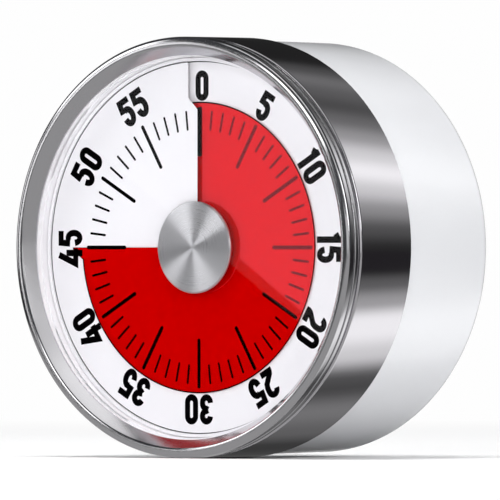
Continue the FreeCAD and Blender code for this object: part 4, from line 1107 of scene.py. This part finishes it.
@dataclass
class RearShell:
    """White drum behind the ring, with its flush cover and disc magnet."""

    rear: float = 46.0
    cup_radius: float = 12.5
    cup_floor: float = 42.9
    screw_circle: float = 27.7
    screw_count: int = 3
    head_radius: float = 1.9
    head_seat: float = 45.0
    slot_spread: float = 1.1
    seed: int = 7

    def shell(self) -> Piece:
        """Drum with a rounded rear rim."""
        profile = [
            (34.1, 8.3), (NECK, 8.3), (NECK, 20.3), (39.5, 20.3), (39.2, self.rear), (30.7, self.rear),
            (30.7, 44.2), (24.7, 44.2), (24.7, 41.2), (37.4, 41.2), (37.7, 22.1), (34.1, 22.1),
        ]
        return lathe("drum", soften(profile, {3: 0.25, 4: 2.2}, steps=10))

    def holes(self) -> list[Piece]:
        """Cutters for the three sunk screw holes."""
        head, seat = self.head_radius + 0.1, self.head_seat
        beyond = self.rear + 1.0
        profile = [(0, 43.0), (1.0, 43.0), (1.0, seat), (head, seat), (head, beyond), (0, beyond)]
        cutters = []
        for bearing in range(0, 360, 360 // self.screw_count):
            turn = math.radians(bearing)
            centre = (self.screw_circle * math.sin(turn), self.screw_circle * math.cos(turn))
            cutters.append(lathe("cutter_%d" % bearing, profile, centre, 48))
        return cutters

    def cover(self) -> Piece:
        """Round cover with the magnet's cup and the screw holes."""
        profile = [
            (0, 41.5), (13.9, 41.5), (13.9, 44.2), (30.55, 44.2), (30.55, self.rear),
            (self.cup_radius, self.rear), (self.cup_radius, self.cup_floor), (0, self.cup_floor),
        ]
        return carve(lathe("cover", soften(profile, {4: -0.15, 5: 0.2})), *self.holes())

    def screw(self) -> Piece:
        """One slotted screw with its head's rear face 0.1 mm below the cover's."""
        head, seat = self.head_radius, self.head_seat
        top = self.rear - 0.1
        profile = [(0, 41.0), (0.8, 41.0), (1.0, 41.3), (1.0, seat), (head, seat), (head, top), (0, top)]
        piece = lathe("screw", soften(profile, {5: 0.3}), steps=64)
        slot = bmesh.new()
        bmesh.ops.create_cube(slot, size=MM)
        bmesh.ops.scale(slot, vec=(5.0, 1.0, 0.5), verts=slot.verts)
        bmesh.ops.translate(slot, vec=dial_point(0, 0, top + 0.05), verts=slot.verts)
        return carve(piece, finish_object("slot_cutter", slot))

    def screw_tree(self, steel: Material) -> Tree:
        """Node group that sets a screw on each of three points.

        Args:
            steel: material of the screws.

        Returns:
            The node group.
        """
        tree, given = new_group("screw_circle", (
            ("Screw", "Object", None), ("Count", "Int", self.screw_count),
            ("Radius", "Float", self.screw_circle * MM),
            ("Slot Spread", "Float", self.slot_spread), ("Seed", "Int", self.seed),
        ))
        angle = even_turns(tree, given["Count"])
        right = calculate(tree, "MULTIPLY", calculate(tree, "SINE", angle), given["Radius"])
        up = calculate(tree, "MULTIPLY_ADD", calculate(tree, "COSINE", angle), given["Radius"], AXIS_HEIGHT)
        place = add_node(tree, "ShaderNodeCombineXYZ", {"X": right, "Z": up})
        points = add_node(tree, "GeometryNodePoints", {
            "Count": given["Count"], "Position": place.outputs[0],
        })
        slots = add_node(tree, "FunctionNodeRandomValue", {
            "Max": given["Slot Spread"], "Seed": given["Seed"],
        })
        spin = add_node(tree, "ShaderNodeCombineXYZ", {"Y": slots.outputs[1]})
        screw = add_node(tree, "GeometryNodeObjectInfo", {"Object": given["Screw"]})
        moved = add_node(tree, "GeometryNodeTransform", {
            0: screw.outputs["Geometry"], "Translation": (0.0, 0.0, -AXIS_HEIGHT),
        })
        placed = add_node(tree, "GeometryNodeInstanceOnPoints", {
            "Points": points.outputs[0], "Instance": moved.outputs[0], "Rotation": spin.outputs[0],
        })
        close_group(tree, placed, steel)
        return tree

    def build(self) -> None:
        """Build the rear pieces with their materials."""
        steel = PLAIN_FINISHES[Slot.SCREW].build()
        give(self.shell(), PLAIN_FINISHES[Slot.CASE].build(), Slot.CASE, Body.CASE, "rear_case")
        give(self.cover(), PLAIN_FINISHES[Slot.COVER].build(), Slot.COVER, Body.CASE, "back_cover")
        screws = run_group("cover_screw_set", self.screw_tree(steel), {"Screw": self.screw()})
        give(screws, steel, Slot.SCREW, Body.CASE, "cover_screws")
        edge, face = self.cup_radius - 0.05, self.rear - 0.1
        disc = [(0, self.cup_floor), (edge, self.cup_floor), (edge, face), (0, face)]
        magnet = lathe("magnet_disc", soften(disc, {2: 0.3}))
        give(magnet, PLAIN_FINISHES[Slot.MAGNET].build(), Slot.MAGNET, Body.CASE, "magnet")


@dataclass
class Movement:
    """Sealed pieces that stay as they are and only take better materials."""

    made: dict[Slot, Material] = field(default_factory=dict)

    def build(self) -> None:
        """Give each shown node of the movement the material of its slot."""
        for part in frame["record"]["subparts"]:
            slot = Slot(part["material_slot"])
            node = frame["nodes"].get(part["node"])
            if node is None or slot not in PLAIN_FINISHES:
                continue
            if slot not in self.made:
                self.made[slot] = PLAIN_FINISHES[slot].build()
            for place in node.material_slots:
                place.material = self.made[slot]


# Studio


# Brightness of the ring behind the timer, by degrees clockwise from the left.
RING_LEVELS = (
    (0, 0.6), (10, 0.1), (20, 0.02), (60, 0.02), (70, 0.1), (80, 0.22), (90, 0.15), (100, 0.1),
    (110, 0.2), (120, 0.45), (130, 0.95), (140, 1.37), (150, 0.9), (160, 0.4), (170, 0.12), (180, 0.03),
    (330, 0.03), (340, 0.46), (360, 0.6),
)
# Brightness of the sheet under the timer, by mm to the right of the axis.
FLOOR_LEVELS = (
    (-200, 0.45), (-10, 0.45), (0, 0.4), (5, 0.07), (11, 0.05), (17, 0.16), (24, 0.25), (32, 0.09),
    (36, 0.12), (46, 0.9), (60, 1.3), (69, 1.3), (90, 0.5), (130, 0.16), (200, 0.03),
)
# Brightness of the strip for the lip's bevel, by clockwise angle on the dial.
BEVEL_LEVELS = ((196, 1.15), (215, 1.4), (228, 1.4), (245, 0.95), (258, 0.62), (263, 0.54), (360, 0.5))
# Height of the reflected sheets over the floor, in metres.
OVER_FLOOR = 0.0002


@dataclass(frozen=True)
class Lamp:
    """Square soft white lamp aimed at the timer; polished metal shows it only where it is mirrored."""

    name: str
    place: tuple[float, float, float]
    size: float
    watts: float
    mirrored: bool = False

    def build(self) -> None:
        """Add the lamp."""
        data = bpy.data.lights.new(self.name, "AREA")
        data.shape = "SQUARE"
        data.size = self.size
        data.energy = self.watts
        lamp = add_object(self.name, data)
        lamp.location = self.place
        sight = Vector((0, 0, AXIS_HEIGHT)) - lamp.location
        lamp.rotation_euler = sight.to_track_quat("-Z", "Y").to_euler()
        lamp.visible_glossy = self.mirrored


LAMPS = (
    Lamp("top_softbox", (-0.05, -0.15, 1.15), 0.55, 7.7),
    Lamp("front_left_softbox", (-1.1, -0.75, 0.62), 0.5, 4.2),
    Lamp("front_right_softbox", (0.35, -1.4, 0.6), 0.7, 6.0),
    Lamp("right_softbox", (1.2, -0.4, 0.5), 0.6, 5.4, True),
    Lamp("rear_softbox", (-0.7, 1.5, 0.5), 0.7, 4.0),
)


@dataclass
class Studio:
    """Pale floor, glowing cards that only reflections see, lamps, world and camera."""

    azimuth: float = 37.3
    distance: float = 3.0
    pixels_per_mm: float = 5.243
    picture_pixels: int = 500
    sensor_mm: float = 36.0
    aim: tuple[float, float, float] = (0.0, -0.00112, 0.03952)
    pieces: list[Piece] = field(default_factory=list)

    def camera_place(self) -> Vector:
        """Where the camera stands."""
        turn = math.radians(self.azimuth)
        return Vector(self.aim) + Vector((math.sin(turn), -math.cos(turn), 0)) * self.distance

    def camera(self) -> None:
        """Add the camera: level, with a very long lens."""
        data = bpy.data.cameras.new("camera")
        width = self.picture_pixels * MM / self.pixels_per_mm
        data.sensor_width = self.sensor_mm
        data.lens = self.sensor_mm * self.distance / width
        data.clip_end = 20.0
        place = add_object("camera", data)
        place.location = self.camera_place()
        place.rotation_euler = (math.pi / 2, 0, math.radians(self.azimuth))
        bpy.context.scene.camera = place

    def floor(self) -> None:
        """Wide pale floor that fades into the background, and shows painted shade to reflections further
        out.
        """
        work = bmesh.new()
        bmesh.ops.create_grid(work, x_segments=1, y_segments=1, size=9.0)
        piece = finish_object("floor", work)
        # Matt white paper; reflections further out see a painted dark shade instead.
        material, tree = new_material("paper_white_matt")
        coords = add_node(tree, "ShaderNodeTexCoord")
        distance = add_node(tree, "ShaderNodeVectorMath", {0: coords.outputs["Object"]}, operation="LENGTH")
        path = add_node(tree, "ShaderNodeLightPath")
        shares = []
        for near, far, ray in ((0.18, 0.7, "Is Camera Ray"), (0.06, 0.16, "Is Glossy Ray")):
            fade = add_node(tree, "ShaderNodeMapRange", {
                "Value": distance.outputs["Value"], "From Min": near, "From Max": far,
            }, interpolation_type="SMOOTHSTEP")
            shares.append(calculate(tree, "MULTIPLY", fade.outputs["Result"], path.outputs[ray]))
        paper = add_node(tree, "ShaderNodeBsdfDiffuse", {"Color": linear("FEFEFE")})
        glow = add_node(tree, "ShaderNodeEmission", {"Color": linear("FEFEFE")})
        # Painted shade: reflections see the floor further out as this dark grey.
        shade = add_node(tree, "ShaderNodeEmission", {"Color": linear("2A282B")})
        whole = mix_shaders(tree, shares[1], mix_shaders(tree, shares[0], paper, glow), shade)
        add_node(tree, "ShaderNodeOutputMaterial", {"Surface": whole.outputs[0]})
        piece.data.materials.append(material)
        self.pieces.append(piece)

    def reflect(self, name: str, work: Work, glow: Optional[float] = None) -> None:
        """Keep a glowing shape that only reflections see.

        Args:
            name: name of the piece.
            work: its shape, which is freed.
            glow: brightness; without one, the attribute "glow" of the shape gives it.
        """
        piece = finish_object(name, work)
        material, tree = new_material(name + "_light")
        if glow is None:
            glow = add_node(tree, "ShaderNodeAttribute", attribute_name="glow").outputs["Fac"]
        shader = add_node(tree, "ShaderNodeEmission", {"Color": linear("FFFFFF"), "Strength": glow})
        add_node(tree, "ShaderNodeOutputMaterial", {"Surface": shader.outputs["Emission"]})
        piece.data.materials.append(material)
        piece.visible_camera = False
        piece.visible_diffuse = False
        piece.visible_shadow = False
        piece.visible_transmission = False
        self.pieces.append(piece)

    def card(self, name: str, corners: Sequence[Vector], glow: float) -> None:
        """Add an evenly glowing card with the given corners."""
        work = bmesh.new()
        work.faces.new([work.verts.new(corner) for corner in corners])
        self.reflect(name, work, glow)

    def strip(self, name: str, rows: Sequence[tuple[Sequence[Vector], float]]) -> None:
        """Add a strip between pairs of points whose brightness changes along it.

        Args:
            name: name of the strip.
            rows: (pair of points, brightness) along the strip.
        """
        work = bmesh.new()
        layer = work.verts.layers.float.new("glow")
        pairs = []
        for corners, glow in rows:
            pairs.append([work.verts.new(corner) for corner in corners])
            for vert in pairs[-1]:
                vert[layer] = glow
        for first, second in zip(pairs, pairs[1:]):
            work.faces.new([first[0], first[1], second[1], second[0]])
        self.reflect(name, work)

    def window_card(self, name: str, points: Sequence[Pair], reach: float, glow: float) -> None:
        """Add a card whose reflection covers given points of the lens in the main view.

        Args:
            name: name of the card.
            points: right and up from the axis in mm, on the lens.
            reach: distance of the card from the lens in metres.
            glow: brightness.
        """
        lens = LENS_FRONT * MM - HALF_DEPTH
        eye = self.camera_place()
        mirrored = Vector((eye.x, 2 * lens - eye.y, eye.z))
        corners = []
        for right, up in points:
            spot = Vector((right * MM, lens, AXIS_HEIGHT + up * MM))
            corners.append(spot + (spot - mirrored).normalized() * reach)
        self.card(name, corners, glow)

    def lens_cards(self) -> None:
        """Add the light panel that the lens reflects, and one beside it for the crest of the lip.

        The panel covers the lens above a slanting line. The other one lies round the left and the top.
        """
        start = math.degrees(math.atan2(23.3, -29.2))
        end = math.degrees(math.atan2(-18.4, 32.5))
        self.window_card("window", arc((0, 0), (37.4, 37.4), start, end, 40), 0.9, 1.1)
        beside = arc((2.0, 0), (38.2, 38.2), 200, 82, 30) + arc((0, 0), (110, 110), 82, 200, 30)
        self.window_card("crest_window", beside, 0.93, 2.4)

    def bevel_strip(self) -> None:
        """Add the strip that the lip's bevel reflects: grey at the left, lighter towards the bottom."""
        slope = math.atan2(2.3, 1.7)
        sight = (Vector(self.aim) - self.camera_place()).normalized()
        rows = []
        for angle in range(196, 274, 2):
            turn = math.radians(angle)
            outwards = Vector((math.sin(turn), 0, math.cos(turn)))
            normal = outwards * -math.sin(slope) + Vector((0, -math.cos(slope), 0))
            ahead = sight - normal * (2 * sight.dot(normal))
            side = ahead.cross(Vector((-outwards.z, 0, outwards.x))).normalized() * 0.16
            middle = outwards * 37.3 * MM + Vector((0, 1.2 * MM - HALF_DEPTH, AXIS_HEIGHT)) + ahead * 1.2
            middle.z = max(middle.z, 0.0)
            rows.append(((middle - side, middle + side), blend(BEVEL_LEVELS, angle)))
        self.strip("bevel_strip", rows)

    def fan_card(self, name: str, corners: Sequence[Pair], glow: float) -> None:
        """Add a card that lights one fan of the centre cap and the fan opposite.

        Args:
            name: name of the card.
            corners: (clockwise angle on the cap, tilt of the fine grooves that catch the card).
            glow: brightness.
        """
        turn = math.radians(self.azimuth)
        middle = Vector((0, -HALF_DEPTH, AXIS_HEIGHT))
        places = []
        for angle, tilt in corners:
            across = -math.sin(turn) + tilt * math.sin(math.radians(angle))
            up = tilt * math.cos(math.radians(angle))
            ahead = -math.sqrt(1 - across * across - up * up)
            places.append(middle + Vector((across, ahead, up)) * 1.3)
        self.card(name, places, glow)

    def low_card(self, name: str, start: float, end: float, glow: float) -> None:
        """Add a curved low card that stands on the floor and lights the roundings of the lip.

        Args:
            name: name of the card.
            start: first direction in degrees, to the right of straight ahead.
            end: last direction.
            glow: brightness.
        """
        distance, height, steps = 1.4, 0.32, 12
        rows = []
        for k in range(steps + 1):
            turn = math.radians(start + (end - start) * k / steps)
            foot = Vector((math.sin(turn), -math.cos(turn), 0)) * distance
            rows.append(((foot, foot + Vector((0, 0, height))), glow))
        self.strip(name, rows)

    def floor_sheets(self) -> None:
        """Add a striped sheet for the band's underside, and a grey one in front for the lip's bevel."""
        near, far = -0.018, 0.24
        rows = []
        for x in range(-200, 201, 2):
            pair = [Vector((x * MM, y, OVER_FLOOR)) for y in (near, far)]
            rows.append((pair, blend(FLOOR_LEVELS, x)))
        self.strip("floor_reflection", rows)
        corners = ((-0.2, -0.019), (-0.2, -0.6), (1.2, -0.6), (1.2, -0.019))
        self.card("front_floor", [Vector((x, y, OVER_FLOOR)) for x, y in corners], 0.45)

    def ring(self) -> None:
        """Add the ring of light and dark behind the timer that the side band reflects."""
        inner, outer, behind = 0.25, 2.4, 1.5
        rows = []
        for angle in range(0, 361, 2):
            turn = math.radians(angle)
            pair = [Vector((-radius * math.cos(turn), behind, AXIS_HEIGHT + radius * math.sin(turn)))
                    for radius in (inner, outer)]
            rows.append((pair, blend(RING_LEVELS, angle)))
        self.strip("reflection_ring", rows)

    def world(self) -> None:
        """Set white surroundings for the eye, softer ones for the light and for reflections."""
        world = bpy.data.worlds.new("studio")
        bpy.context.scene.world = world
        world.use_nodes = True
        tree = world.node_tree
        tree.nodes.clear()
        path = add_node(tree, "ShaderNodeLightPath")
        seen, light, shine = (
            add_node(tree, "ShaderNodeBackground", {"Color": linear(code), "Strength": strength})
            for code, strength in (("FEFEFE", 1.0), ("FAFAFC", 0.27), ("D8DCE2", 0.09))
        )
        soft = mix_shaders(tree, path.outputs["Is Glossy Ray"], light, shine)
        whole = mix_shaders(tree, path.outputs["Is Camera Ray"], soft, seen)
        add_node(tree, "ShaderNodeOutputWorld", {"Surface": whole.outputs[0]})

    def build(self) -> None:
        """Set up the whole studio."""
        self.camera()
        self.world()
        self.floor()
        self.ring()
        self.lens_cards()
        self.bevel_strip()
        self.fan_card("fan_left", [(-46, 0.2), (-46, 0.44), (-24, 0.52), (-3, 0.7), (-3, 0.2)], 3.0)
        self.fan_card("fan_right", [(30, 0.2), (30, 0.7), (62, 0.9), (62, 0.2)], 3.2)
        self.low_card("low_front", 20, 65, 0.8)
        self.low_card("low_left", -85, -60, 1.2)
        self.floor_sheets()
        # Black card behind the panel: the rest of the lens reflects no light.
        self.window_card("flag", [(-160, -160), (160, -160), (160, 160), (-160, 160)], 1.0, 0.0)
        for lamp in LAMPS:
            lamp.build()
        bpy.context.scene.view_settings.view_transform = "Standard"


def main() -> None:
    """Build the finished timer and its studio."""
    logging.basicConfig(level=logging.INFO)
    FrontRing().build()
    Dial().build()
    TimeFilm().build()
    RearShell().build()
    Movement().build()
    Studio().build()


if __name__ == "__main__":
    main()
